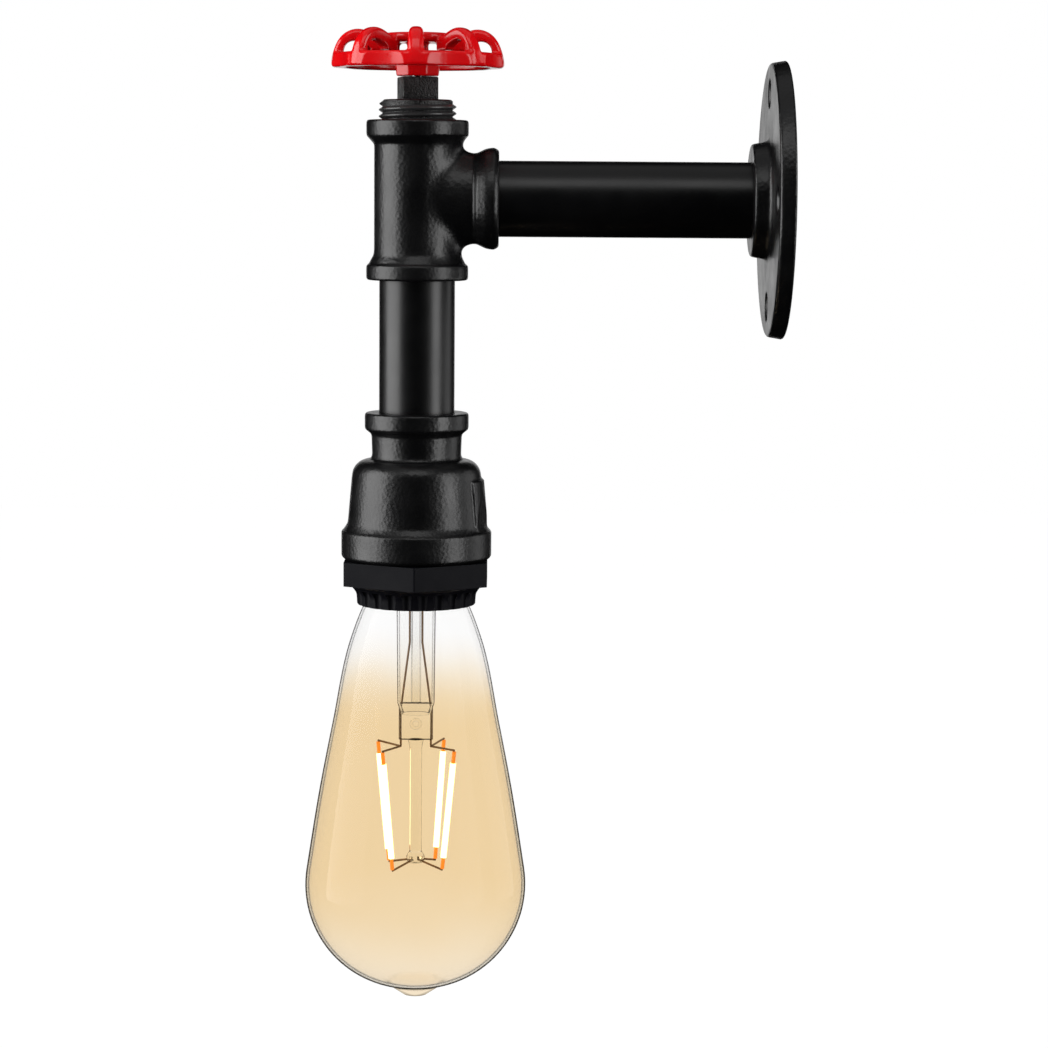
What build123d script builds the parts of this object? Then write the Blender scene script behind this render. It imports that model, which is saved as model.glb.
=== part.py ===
from build123d import *

import os
from math import cos, pi, radians, sin

# Industrial pipe wall light, in millimetres.
# The origin is the centre of the wall flange's back face. +X points into the wall, +Z is up, and
# the arm runs along -X to the tee. The lamp hangs below the tee on the vertical lamp axis.

# ---- driving dimensions -------------------------------------------------------------------------

REACH = 103.0  # wall plane to lamp axis

# Half-inch steel pipe and its thread
PIPE_RADIUS = 21.3 / 2
PIPE_BORE_RADIUS = 16.1 / 2
THREAD_RADIUS = 10.28  # mean radius of the male thread, cut on the pipe's end
SOCKET_RADIUS = 10.31  # the female thread that it screws into
THREAD_CHAMFER = 0.8

# Wall flange
FLANGE_RADIUS = 39.0  # at the wall
FLANGE_DRAFT = 0.8  # the cast rim tapers by this much towards the room
FLANGE_THICKNESS = 4.6
HUB_LENGTH = 9.5  # from the wall to the hub's face
HUB_FACE_RADIUS = 15.7
HUB_ROOT_RADIUS = 16.6
HUB_FILLET = 1.6
HOLE_COUNT = 4
HOLE_CIRCLE_DIAMETER = 59.6
HOLE_RADIUS = 2.75
COUNTERSINK_RADIUS = 4.35
COUNTERSINK_DEPTH = 2.0
PIPE_END_GAP = 1.5  # the arm's end stops this far from the wall

# Tee, with the arm's axis at height zero
TEE_TOP = 21.8
TEE_BOTTOM = -22.9
TEE_BRANCH = 22.9  # lamp axis to the side collar's face
TEE_BODY_RADIUS = 12.15
TEE_WAIST = 16.6  # lamp axis to the branch's narrowest place
TEE_WAIST_RADIUS = 12.7
TEE_BRANCH_HALF_DEPTH = 11.2  # the branch is oval where it leaves the run
TEE_COLLAR_RADIUS = 14.35
TEE_COLLAR_HEIGHT = 4.4
TEE_CORE_RADIUS = 8.7  # the cast bore between the threads
TEE_BLEND = 3.2  # fillet between the run and the branch
THREAD_DEPTH = 10.5
PIPE_ENGAGEMENT = 9.5  # how far a pipe is screwed into a fitting

# Drop pipe and reducing socket, by height
SOCKET_TOP = -60.2
SOCKET_SMALL_COLLAR = -64.8
SOCKET_NECK_TOP = -66.3
SOCKET_NECK_END = -72.9
SOCKET_SIDE_TOP = -79.0
SOCKET_SIDE_END = -91.6
SOCKET_LARGE_COLLAR = -93.6
SOCKET_END = -101.8
SMALL_COLLAR_RADIUS = 14.7
NECK_RADIUS = 12.6
SIDE_TOP_RADIUS = 18.4
SIDE_END_RADIUS = 19.5
SHOULDER_ROUND = 4.6
LARGE_COLLAR_RADIUS = 21.3
LEDGE_HEIGHT = -77.0  # flat seat inside, which carries the earth screw
LEDGE_RADIUS = 9.5
BARREL_BORE_RADIUS = 15.9  # the large female thread
LUG_AZIMUTH = 75.0  # degrees round from the front, where the casting's wrench lug stands
LUG_WIDTH = 11.0
LUG_PROUD = 0.75

# Square-head plug
HEAD_SIDE = 10.1
HEAD_TURN = 11.0  # degrees
HEAD_TOP = 33.7
HEAD_BOTTOM = 27.6
PLUG_TOP_RADIUS = 9.9
PLUG_THREAD_TOP_RADIUS = 10.85
PLUG_LENGTH_IN_TEE = 9.0
PLUG_CORE_RADIUS = 6.6
PLUG_CORE_TOP = 21.0

# Handwheel
WHEEL_SPOKES = 8
WHEEL_RADIUS = 24.2  # to the tips of the lobes
WHEEL_VALLEY_RADIUS = 22.7  # to the rim midway between two lobes
RIM_INNER_RADIUS = 20.4
RIM_BOTTOM = 36.1
RIM_TOP = 40.2
CREST_HEIGHT = 46.9  # top of the arched spokes
CREST_RADIUS = 16.3
SPOKE_DEPTH = 2.9
SPOKE_WIDTH_AT_RIM = 4.8
SPOKE_WIDTH_AT_PLATE = 3.1
SPOKE_ROUND = 1.45
SPOKE_ROOT_BOTTOM = 40.4  # a spoke's deep inner end reaches down to here under the plate's edge
PLATE_RADIUS = 9.6
PLATE_TOP = 45.8
PLATE_BOTTOM = 43.1
COLUMN_RADIUS = 3.0
BOSS_FLATS = 11.8  # octagonal boss, across flats
BOSS_TOP = 39.4
WHEEL_LIFT = 0.2  # running gap between the boss and the square head
WHEEL_SCREW_RADIUS = 1.9
WHEEL_SCREW_HEAD_RADIUS = 3.9
WHEEL_SCREW_DEPTH = 5.0  # how far it is screwed into the square head
RUNNING_GAP = 0.05

# Lamp holder
HEX_FLATS = 40.3
HEX_BOTTOM = -108.5
SKIRT_TOP = -111.6  # where the flare under the hexagon ends
SKIRT_BOTTOM = -114.7
SKIRT_RADIUS = 17.0
FLUTES = 24
FLUTE_TOP = -110.2  # the flutes run up into the flare
FLUTE_RADIUS = 1.5
FLUTE_DEPTH = 0.7
BARREL_RADIUS = 15.85
BARREL_TOP = -80.2
CORE_SEAT = -86.8  # the insulating core stands on this ledge
CORE_RADIUS = 14.8
CORE_THICKNESS = 6.4
SHELL_SPACE_RADIUS = 14.0
MOUTH_TOP = -109.5
MOUTH_RADIUS = 15.4

# Electrical pieces of the holder
SHELL_INNER_RADIUS = 13.35
SHELL_WALL = 0.4
SHELL_BOTTOM = -109.0
SHELL_LIP_INNER_RADIUS = 6.5
STRIP_THICKNESS = 0.5
STRIP_WIDTH = 4.6
TERMINAL_OFFSET = 9.0
POCKET_SIZE = 7.4
POCKET_DEPTH = 3.0
TERMINAL_SCREW_RADIUS = 1.25
TERMINAL_HEAD_RADIUS = 1.9
TERMINAL_HEAD_HEIGHT = 1.5
TERMINAL_SCREW_LENGTH = 3.4
SCREW_OFF_CENTRE = 1.2  # the screw leaves room beside it in the pocket
WIRE_BESIDE_SCREW = 2.1
RISER_OFFSET = 2.6  # from the terminal's middle to the strip's way down
RIVET_RADIUS = 1.0
RIVET_HOLES = [(0, 10.2), (0, -10.2)]

# Earth screw and tag, under the ledge in the reducing socket
EARTH_SCREW_CIRCLE = 12.7
EARTH_SCREW_TOP = LEDGE_HEIGHT + 2.6
TAG_THICKNESS = 0.7
CRIMP_RADIUS = 1.55
CRIMP_HEIGHT = LEDGE_HEIGHT - 0.5
CRIMP_INNER = 5.2
CRIMP_OUTER = 9.2

# Wiring
LEAD_RADIUS = 1.1
LEAD_PITCH = 3.0
LEAD_PLANE = -3.0  # the leads lie behind or before the pipe axis by this much
LEAD_BEND = 13.0
LEAD_END = -8.0
FERRULE_END = -2.0
FERRULE_RADIUS = 0.9

# Lamp (filament bulb)
BULB_RADIUS = 31.65
BULB_WIDEST = -196.2
BULB_SIDE = [(14.8, -114.8), (18.4, -124.0), (23.9, -149.5), (27.5, -168.1)]  # radius, height
BOWL_ARC_RADIUS = 29.7
BOWL_START = 9.0  # degrees above the widest place, where the side runs into the bowl's arc
BULB_TIP = -229.3
TIP_BASE_RADIUS = 8.6
GLASS_WALL = 0.7
NECK_GLASS_RADIUS = 12.3
NECK_GLASS_TOP = -105.0
CAP_RADIUS = 13.1
CAP_WALL = 0.35
CAP_BOTTOM = -110.8
CAP_SHOULDER = -93.5
CAP_TOP_RADIUS = 10.2
CONTACT_TOP = -88.0
CONTACT_RADIUS = 4.7
CONTACT_BASE = -89.4
STEM_RADIUS = 5.3
STEM_WALL = 0.6
STEM_END = -143.5
PRESS_TOP = -146.5
PRESS_BOTTOM = -154.0
PRESS_WIDTH = 9.8
PRESS_THICKNESS = 2.6
ROD_RADIUS = 1.75
ROD_BOTTOM = -190.0
FEED_WIRE_RADIUS = 0.3
FEED_WIRE_END = -155.8
FEED_WIRE_OFFSET = 4.3
WELD_RISE = 0.36  # support wire's middle line beyond the end of a filament's tip
FILAMENT_ANGLES = [54, 146, 227, 326]  # azimuths, a little uneven as they are welded by hand
FILAMENT_RADIUS = 0.85
FILAMENT_TOP = -156.2
FILAMENT_BOTTOM = -190.6
FILAMENT_TOP_CIRCLE = 13.4
FILAMENT_BOTTOM_CIRCLE = 9.4
FILAMENT_TIP_LENGTH = 3.4
FILAMENT_TIP_RADIUS = 0.55
BOARD_BOTTOM = -107.5
BOARD_TOP = -93.5
BOARD_WIDTH = 15.0
BOARD_THICKNESS = 1.0

LAMP_AXIS = Pos(-REACH, 0, 0)
DOWN = Rot(180, 0, 0)

# ---- shared shapes ------------------------------------------------------------------------------


def turned(*corners):
    """Solid of revolution about Z. A corner is (radius, height) or (radius, height, rounding)."""
    points = [(corner[0], corner[1]) for corner in corners]
    rounding = [corner[2] if len(corner) > 2 else 0 for corner in corners]
    outline = Plane.XZ * FilletPolyline(*points, radius=rounding, close=True)
    return revolve(make_face(outline), Axis.Z)


def rod(start, end, radius):
    """Round bar from one point to another."""
    run = Vector(end) - Vector(start)
    return extrude(Plane(origin=start, z_dir=run) * Circle(radius), run.length)


def wire(points, radii, radius):
    """Round wire along straight runs joined by tangent arcs."""
    path = FilletPolyline(*points, radius=radii)
    start = Plane(origin=path @ 0, z_dir=path % 0)
    return sweep(start * Circle(radius), path=path)


def ring_of(shape, count, first=0.0):
    """Copies of a shape, evenly spaced round Z."""
    return [Rot(0, 0, first + 360 / count * step) * shape for step in range(count)]


def around(angle, radius, height):
    """Point at an azimuth in degrees round the lamp axis."""
    return (radius * cos(radians(angle)), radius * sin(radians(angle)), height)


def along_arm(shape):
    """Turns a shape made along +Z so that it lies along +X."""
    return Rot(0, 90, 0) * shape


# ---- pipework -----------------------------------------------------------------------------------


def pipe(bottom, top, low_thread, high_thread):
    """Length of pipe along Z: full size between the fittings, thread size inside them."""
    low = bottom - low_thread
    high = top + high_thread
    return turned(
        (PIPE_BORE_RADIUS, low),
        (THREAD_RADIUS - THREAD_CHAMFER, low),
        (THREAD_RADIUS, low + THREAD_CHAMFER),
        (THREAD_RADIUS, bottom),
        (PIPE_RADIUS, bottom),
        (PIPE_RADIUS, top),
        (THREAD_RADIUS, top),
        (THREAD_RADIUS, high - THREAD_CHAMFER),
        (THREAD_RADIUS - THREAD_CHAMFER, high),
        (PIPE_BORE_RADIUS, high),
    )


def arm_pipe():
    tee_face = -REACH + TEE_BRANCH
    return along_arm(pipe(tee_face, -HUB_LENGTH, PIPE_ENGAGEMENT, HUB_LENGTH - PIPE_END_GAP))


def drop_pipe():
    return LAMP_AXIS * pipe(SOCKET_TOP, TEE_BOTTOM, PIPE_ENGAGEMENT, PIPE_ENGAGEMENT)


def wall_flange():
    """Round cast flange: drafted plate, threaded hub and countersunk screw holes."""
    body = turned(
        (SOCKET_RADIUS, 0),
        (FLANGE_RADIUS, 0, 0.4),
        (FLANGE_RADIUS - FLANGE_DRAFT, -FLANGE_THICKNESS, 0.8),
        (HUB_ROOT_RADIUS, -FLANGE_THICKNESS, HUB_FILLET),
        (HUB_FACE_RADIUS, -HUB_LENGTH, 0.7),
        (SOCKET_RADIUS + 0.6, -HUB_LENGTH),
        (SOCKET_RADIUS, -HUB_LENGTH + 0.6),
    )
    screw_hole = turned(
        (0, 1),
        (HOLE_RADIUS, 1),
        (HOLE_RADIUS, -FLANGE_THICKNESS + COUNTERSINK_DEPTH),
        (COUNTERSINK_RADIUS, -FLANGE_THICKNESS),
        (COUNTERSINK_RADIUS, -FLANGE_THICKNESS - 1),
        (0, -FLANGE_THICKNESS - 1),
    )
    holes = ring_of(Pos(HOLE_CIRCLE_DIAMETER / 2, 0, 0) * screw_hole, HOLE_COUNT)
    return along_arm(body - holes)


def tee_leg(face_height):
    """Bore of one leg of the tee: thread, then the narrower cast bore to the centre."""
    return turned(
        (0, -1),
        (TEE_CORE_RADIUS, -1),
        (TEE_CORE_RADIUS, face_height - THREAD_DEPTH - 1),
        (SOCKET_RADIUS, face_height - THREAD_DEPTH),
        (SOCKET_RADIUS, face_height - 0.5),
        (SOCKET_RADIUS + 0.5, face_height),
        (SOCKET_RADIUS + 0.5, face_height + 1),
        (0, face_height + 1),
    )


def tee_body():
    """Run and branch of the casting, blended where they meet. The branch starts oval."""
    middle = (TEE_TOP + TEE_BOTTOM) / 2
    run = Pos(0, 0, middle) * Cylinder(TEE_BODY_RADIUS, TEE_TOP - TEE_BOTTOM)
    branch = along_arm(extrude(Ellipse(TEE_WAIST_RADIUS, TEE_BRANCH_HALF_DEPTH), TEE_WAIST - 0.8))
    body = run + branch
    seam = body.edges().filter_by(GeomType.BSPLINE)
    return fillet(seam, TEE_BLEND)


def tee():
    """Cast tee: blended body, beaded collars on the three legs, and bored through."""
    top_collar = turned(
        (0, TEE_TOP),
        (TEE_COLLAR_RADIUS, TEE_TOP, 0.6),
        (TEE_COLLAR_RADIUS, TEE_TOP - TEE_COLLAR_HEIGHT, 0.5),
        (TEE_BODY_RADIUS, TEE_TOP - TEE_COLLAR_HEIGHT - 2.4),
        (0, TEE_TOP - TEE_COLLAR_HEIGHT - 2.4),
    )
    bottom_collar = turned(
        (0, TEE_BOTTOM + 8.6),
        (TEE_BODY_RADIUS, TEE_BOTTOM + 8.6),
        (TEE_BODY_RADIUS + 0.15, TEE_BOTTOM + 7.0, 2.0),
        (TEE_BODY_RADIUS + 1.3, TEE_BOTTOM + 5.0, 0.3),
        (TEE_BODY_RADIUS + 1.0, TEE_BOTTOM + 4.5),
        (TEE_COLLAR_RADIUS, TEE_BOTTOM + 4.3, 0.5),
        (TEE_COLLAR_RADIUS, TEE_BOTTOM, 0.6),
        (0, TEE_BOTTOM),
    )
    neck = Plane.YZ.offset(TEE_WAIST - 0.8) * Ellipse(TEE_BRANCH_HALF_DEPTH, TEE_WAIST_RADIUS)
    waist = loft([neck, Plane.YZ.offset(TEE_WAIST) * Circle(TEE_WAIST_RADIUS)])
    side_collar = turned(
        (0, TEE_WAIST),
        (TEE_WAIST_RADIUS, TEE_WAIST),
        (TEE_WAIST_RADIUS + 0.3, TEE_WAIST + 0.6),
        (TEE_COLLAR_RADIUS - 0.4, TEE_WAIST + 2.6, 1.0),
        (TEE_COLLAR_RADIUS, TEE_BRANCH - 1.4, 1.2),
        (TEE_COLLAR_RADIUS - 0.9, TEE_BRANCH, 0.4),
        (0, TEE_BRANCH),
    )
    body = tee_body() + top_collar + bottom_collar + waist + along_arm(side_collar)
    body -= tee_leg(TEE_TOP)
    body -= DOWN * tee_leg(-TEE_BOTTOM)
    body -= along_arm(tee_leg(TEE_BRANCH))
    return LAMP_AXIS * body


def wrench_lug():
    """Raised flat pad on the side of the reducing socket, running down into its large collar."""
    height = SOCKET_SIDE_TOP - SOCKET_LARGE_COLLAR + 1.0
    middle = (SOCKET_SIDE_TOP + SOCKET_LARGE_COLLAR) / 2 - 0.5
    reach = SIDE_TOP_RADIUS + LUG_PROUD
    lean = (SIDE_END_RADIUS - SIDE_TOP_RADIUS) / (SOCKET_SIDE_TOP - SOCKET_SIDE_END)
    block = Pos(reach / 2 + 0.3, 0, middle) * Box(reach, LUG_WIDTH, height)
    cone = turned(
        (0, SOCKET_SIDE_TOP + 1),
        (reach - lean, SOCKET_SIDE_TOP + 1, 1.2),
        (reach + lean * height, SOCKET_SIDE_TOP - height),
        (0, SOCKET_SIDE_TOP - height),
    )
    return block & cone


def reducing_socket():
    """Cast reducing socket: half-inch above, one-inch below, with a ledge for the earth screw."""
    body = turned(
        (0, SOCKET_TOP),
        (SMALL_COLLAR_RADIUS, SOCKET_TOP, 0.5),
        (SMALL_COLLAR_RADIUS, SOCKET_SMALL_COLLAR, 0.4),
        (NECK_RADIUS + 0.2, SOCKET_NECK_TOP, 0.8),
        (NECK_RADIUS, SOCKET_NECK_END + 0.6),
        (NECK_RADIUS + 0.3, SOCKET_NECK_END, 0.2),
        (NECK_RADIUS + 0.3, SOCKET_NECK_END - 0.5),
        (SIDE_TOP_RADIUS - 0.6, SOCKET_NECK_END - 1.0, SHOULDER_ROUND),
        (SIDE_TOP_RADIUS, SOCKET_SIDE_TOP),
        (SIDE_END_RADIUS, SOCKET_SIDE_END, 1.6),
        (SIDE_END_RADIUS + 1.1, SOCKET_LARGE_COLLAR + 0.3, 0.3),
        (SIDE_END_RADIUS + 1.0, SOCKET_LARGE_COLLAR),
        (LARGE_COLLAR_RADIUS, SOCKET_LARGE_COLLAR, 0.4),
        (LARGE_COLLAR_RADIUS, SOCKET_END + 0.9),
        (LARGE_COLLAR_RADIUS - 0.9, SOCKET_END),
        (0, SOCKET_END),
    )
    body += Rot(0, 0, LUG_AZIMUTH - 90) * wrench_lug()
    bore = turned(
        (0, SOCKET_TOP + 1),
        (SOCKET_RADIUS + 0.4, SOCKET_TOP + 1),
        (SOCKET_RADIUS + 0.4, SOCKET_TOP),
        (SOCKET_RADIUS, SOCKET_TOP - 0.4),
        (SOCKET_RADIUS, SOCKET_TOP - THREAD_DEPTH),
        (TEE_CORE_RADIUS, SOCKET_TOP - THREAD_DEPTH),
        (LEDGE_RADIUS, LEDGE_HEIGHT),
        (BARREL_BORE_RADIUS, LEDGE_HEIGHT),
        (BARREL_BORE_RADIUS, SOCKET_END - 1),
        (0, SOCKET_END - 1),
    )
    body -= bore
    body -= Pos(0, -EARTH_SCREW_CIRCLE, 0) * rod((0, 0, LEDGE_HEIGHT - 1), (0, 0, EARTH_SCREW_TOP), 1.5)
    return LAMP_AXIS * body


def square_head_plug():
    """Tapered pipe plug with a square head, hollow from below and drilled for the wheel's screw."""
    thread = turned(
        (0, HEAD_BOTTOM - 0.2),
        (PLUG_TOP_RADIUS, HEAD_BOTTOM - 0.2, 0.4),
        (PLUG_THREAD_TOP_RADIUS, HEAD_BOTTOM - 1.8),
        (THREAD_RADIUS + 0.15, TEE_TOP + 0.1),
        (THREAD_RADIUS - 0.05, TEE_TOP),
        (THREAD_RADIUS - 0.05, TEE_TOP - PLUG_LENGTH_IN_TEE + THREAD_CHAMFER),
        (THREAD_RADIUS - THREAD_CHAMFER, TEE_TOP - PLUG_LENGTH_IN_TEE),
        (0, TEE_TOP - PLUG_LENGTH_IN_TEE),
    )
    head = extrude(Rectangle(HEAD_SIDE, HEAD_SIDE), HEAD_TOP - HEAD_BOTTOM + 1)
    head = fillet(head.edges().filter_by(Axis.Z), 0.5)
    head = chamfer(head.faces().sort_by(Axis.Z)[-1].edges(), 0.3)
    body = thread + Rot(0, 0, HEAD_TURN) * Pos(0, 0, HEAD_BOTTOM - 1) * head
    core = turned(
        (0, PLUG_CORE_TOP + 1.5),
        (PLUG_CORE_RADIUS, PLUG_CORE_TOP, 0.8),
        (PLUG_CORE_RADIUS, TEE_TOP - PLUG_LENGTH_IN_TEE - 1),
        (0, TEE_TOP - PLUG_LENGTH_IN_TEE - 1),
    )
    body -= core
    body -= rod((0, 0, HEAD_TOP + 1), (0, 0, HEAD_TOP - WHEEL_SCREW_DEPTH - 0.5), WHEEL_SCREW_RADIUS)
    return LAMP_AXIS * body


# ---- handwheel ----------------------------------------------------------------------------------


def wheel_spoke():
    """One arched spoke: it rises from the rim, bends over a round crest and dives under the plate."""
    root = PLATE_RADIUS - 0.8
    inner = RIM_INNER_RADIUS + 0.3
    foot_height = RIM_BOTTOM + 0.6
    underside = CREST_HEIGHT - SPOKE_DEPTH
    outside = Spline(
        (WHEEL_RADIUS, foot_height),
        (WHEEL_RADIUS - 0.6, RIM_TOP + 0.3),
        (WHEEL_RADIUS - 2.9, CREST_HEIGHT - 2.0),
        (CREST_RADIUS, CREST_HEIGHT),
        (PLATE_RADIUS + 2.6, PLATE_TOP - 0.2),
        (root, PLATE_TOP - 1.2),
        tangents=[(0, 1), (-1, -0.15)],
    )
    inside = Spline(
        (inner, RIM_TOP - 0.6),
        (inner - 1.0, underside - 1.2),
        (CREST_RADIUS + 1.0, underside - 0.5),
        (PLATE_RADIUS + 3.4, SPOKE_ROOT_BOTTOM + 0.7),
        (root, SPOKE_ROOT_BOTTOM),
        tangents=[(0, 1), (-1, -0.1)],
    )
    outline = Curve() + [
        outside,
        Line(outside @ 1, inside @ 1),
        inside,
        Line(inside @ 0, (inner, foot_height)),
        Line((inner, foot_height), outside @ 0),
    ]
    arch = extrude(make_face(Plane.XZ * outline), SPOKE_WIDTH_AT_RIM, both=True)
    half_rim = SPOKE_WIDTH_AT_RIM / 2
    half_root = SPOKE_WIDTH_AT_PLATE / 2
    reach = WHEEL_RADIUS + 1
    plan = Polyline(
        (root - 1, -half_root),
        (reach, -half_rim),
        (reach, half_rim),
        (root - 1, half_root),
        close=True,
    )
    taper = Pos(0, 0, RIM_BOTTOM) * extrude(make_face(plan), CREST_HEIGHT)
    spoke = arch & taper
    long_edges = spoke.edges().filter_by(GeomType.BSPLINE).sort_by(SortBy.LENGTH)
    spoke = fillet(long_edges[-2:], SPOKE_ROUND)
    return spoke


def wheel_rim():
    """Rim whose outside swells at each spoke and is scooped in between."""
    rim = turned(
        (RIM_INNER_RADIUS, RIM_BOTTOM, 0.8),
        (WHEEL_RADIUS, RIM_BOTTOM, 0.8),
        (WHEEL_RADIUS - 0.5, RIM_TOP, 1.2),
        (RIM_INNER_RADIUS, RIM_TOP, 0.8),
    )
    half_gap = pi / WHEEL_SPOKES
    lobe_edge = (WHEEL_RADIUS * cos(half_gap * 0.72), WHEEL_RADIUS * sin(half_gap * 0.72))
    rise = lobe_edge[0] - WHEEL_VALLEY_RADIUS
    scoop_radius = (lobe_edge[1] ** 2 + rise**2) / (2 * rise)
    scoop = rod((0, 0, RIM_BOTTOM - 1), (0, 0, RIM_TOP + 1), scoop_radius)
    scoop = Pos(WHEEL_VALLEY_RADIUS + scoop_radius, 0, 0) * scoop
    return rim - ring_of(scoop, WHEEL_SPOKES, 180 / WHEEL_SPOKES)


def handwheel():
    """Cast handwheel: lobed rim, arched spokes, top plate, centre column and octagonal boss."""
    plate = turned(
        (0, PLATE_BOTTOM),
        (PLATE_RADIUS, PLATE_BOTTOM, 0.9),
        (PLATE_RADIUS, PLATE_TOP, 0.9),
        (0, PLATE_TOP),
    )
    column = turned(
        (0, BOSS_TOP - 1),
        (COLUMN_RADIUS + 1.6, BOSS_TOP - 1),
        (COLUMN_RADIUS, BOSS_TOP + 1.6, 1.0),
        (COLUMN_RADIUS, PLATE_BOTTOM + 0.5),
        (0, PLATE_BOTTOM + 0.5),
    )
    boss_bottom = HEAD_TOP + WHEEL_LIFT
    boss_radius = BOSS_FLATS / 2 / cos(pi / 8)
    boss_low = Plane.XY.offset(boss_bottom) * RegularPolygon(boss_radius, 8, rotation=22.5)
    boss_high = Plane.XY.offset(BOSS_TOP) * RegularPolygon(boss_radius + 0.5, 8, rotation=22.5)
    wheel = plate + column + loft([boss_low, boss_high])
    wheel += wheel_rim()
    wheel += ring_of(wheel_spoke(), WHEEL_SPOKES)
    sink = turned(
        (0, PLATE_TOP + 1),
        (WHEEL_SCREW_HEAD_RADIUS + 0.15, PLATE_TOP + 1),
        (WHEEL_SCREW_HEAD_RADIUS + 0.15, PLATE_TOP - 0.65),
        (WHEEL_SCREW_RADIUS + RUNNING_GAP, PLATE_TOP - 2.85),
        (WHEEL_SCREW_RADIUS + RUNNING_GAP, boss_bottom - 1),
        (0, boss_bottom - 1),
    )
    wheel -= sink
    return LAMP_AXIS * wheel


def wheel_screw():
    """Countersunk screw that holds the handwheel on the plug and is the axle it turns on."""
    screw = turned(
        (0, PLATE_TOP - 0.35),
        (WHEEL_SCREW_HEAD_RADIUS, PLATE_TOP - 0.35),
        (WHEEL_SCREW_HEAD_RADIUS, PLATE_TOP - 0.55),
        (WHEEL_SCREW_RADIUS, PLATE_TOP - 2.65),
        (WHEEL_SCREW_RADIUS, HEAD_TOP + 0.1),
        (WHEEL_SCREW_RADIUS - 0.03, HEAD_TOP + 0.1),
        (WHEEL_SCREW_RADIUS - 0.03, HEAD_TOP - WHEEL_SCREW_DEPTH + 0.4),
        (WHEEL_SCREW_RADIUS - 0.5, HEAD_TOP - WHEEL_SCREW_DEPTH),
        (0, HEAD_TOP - WHEEL_SCREW_DEPTH),
    )
    slot_depth = 1.1
    slot = Pos(0, 0, PLATE_TOP - slot_depth / 2) * Box(1.0, 10, slot_depth + 0.4)
    return LAMP_AXIS * (screw - slot)


# ---- lamp holder --------------------------------------------------------------------------------


def holder_body():
    """Moulded sleeve: threaded barrel above, hexagon for the fingers, fluted skirt at the mouth."""
    barrel = turned(
        (0, BARREL_TOP),
        (BARREL_RADIUS, BARREL_TOP, 0.3),
        (BARREL_RADIUS, SOCKET_END),
        (0, SOCKET_END),
    )
    hexagon = RegularPolygon(HEX_FLATS / 2, 6, major_radius=False, rotation=30)
    grip = Pos(0, 0, HEX_BOTTOM) * extrude(hexagon, SOCKET_END - HEX_BOTTOM)
    grip = fillet(grip.edges().filter_by(Axis.Z), 0.6)
    skirt = turned(
        (0, HEX_BOTTOM + 1),
        (HEX_FLATS / 2, HEX_BOTTOM + 1),
        (HEX_FLATS / 2 - 0.1, HEX_BOTTOM),
        (SKIRT_RADIUS + 1.6, HEX_BOTTOM - 0.9),
        (SKIRT_RADIUS, SKIRT_TOP, 2.8),
        (SKIRT_RADIUS - 0.2, SKIRT_BOTTOM, 0.3),
        (0, SKIRT_BOTTOM),
    )
    flute = rod((0, 0, SKIRT_BOTTOM - 1), (0, 0, FLUTE_TOP), FLUTE_RADIUS)
    flute = Pos(SKIRT_RADIUS + FLUTE_RADIUS - FLUTE_DEPTH, 0, 0) * flute
    skirt -= ring_of(flute, FLUTES, 180 / FLUTES)
    inside = turned(
        (0, BARREL_TOP + 1),
        (CORE_RADIUS + 0.05, BARREL_TOP + 1),
        (CORE_RADIUS + 0.05, CORE_SEAT),
        (SHELL_SPACE_RADIUS, CORE_SEAT),
        (SHELL_SPACE_RADIUS, MOUTH_TOP + 1),
        (MOUTH_RADIUS, MOUTH_TOP),
        (MOUTH_RADIUS, SKIRT_BOTTOM - 1),
        (0, SKIRT_BOTTOM - 1),
    )
    return LAMP_AXIS * (barrel + grip + skirt - inside)


def terminal_pocket():
    """Recess in the core's top for one terminal, with a slot down and a threaded hole."""
    floor = CORE_SEAT + CORE_THICKNESS - POCKET_DEPTH
    pocket = Pos(0, 0, floor + POCKET_DEPTH) * Box(POCKET_SIZE, POCKET_SIZE, 2 * POCKET_DEPTH)
    slot = Pos(-RISER_OFFSET, 0, floor) * Box(STRIP_THICKNESS + 0.1, STRIP_WIDTH + 0.2, 12)
    top = (0, -SCREW_OFF_CENTRE, floor + 1)
    bottom = (0, -SCREW_OFF_CENTRE, floor - TERMINAL_SCREW_LENGTH + 0.1)
    screw_hole = rod(top, bottom, TERMINAL_SCREW_RADIUS + 0.02)
    return Pos(TERMINAL_OFFSET, 0, 0) * (pocket + slot + screw_hole)


def holder_core():
    """Insulating disc that carries the screw shell, both contacts and both terminals."""
    disc = turned(
        (0, CORE_SEAT),
        (CORE_RADIUS, CORE_SEAT, 0.4),
        (CORE_RADIUS, CORE_SEAT + CORE_THICKNESS, 0.6),
        (0, CORE_SEAT + CORE_THICKNESS),
    )
    recess = Pos(TERMINAL_OFFSET, 0, CORE_SEAT) * Box(6.4, STRIP_WIDTH + 0.2, 2 * STRIP_THICKNESS)
    for hole in RIVET_HOLES:
        disc -= rod((*hole, CORE_SEAT - 1), (*hole, CORE_SEAT + CORE_THICKNESS + 1), RIVET_RADIUS + 0.02)
    return LAMP_AXIS * (disc - recess - ring_of(terminal_pocket(), 2))


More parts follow.
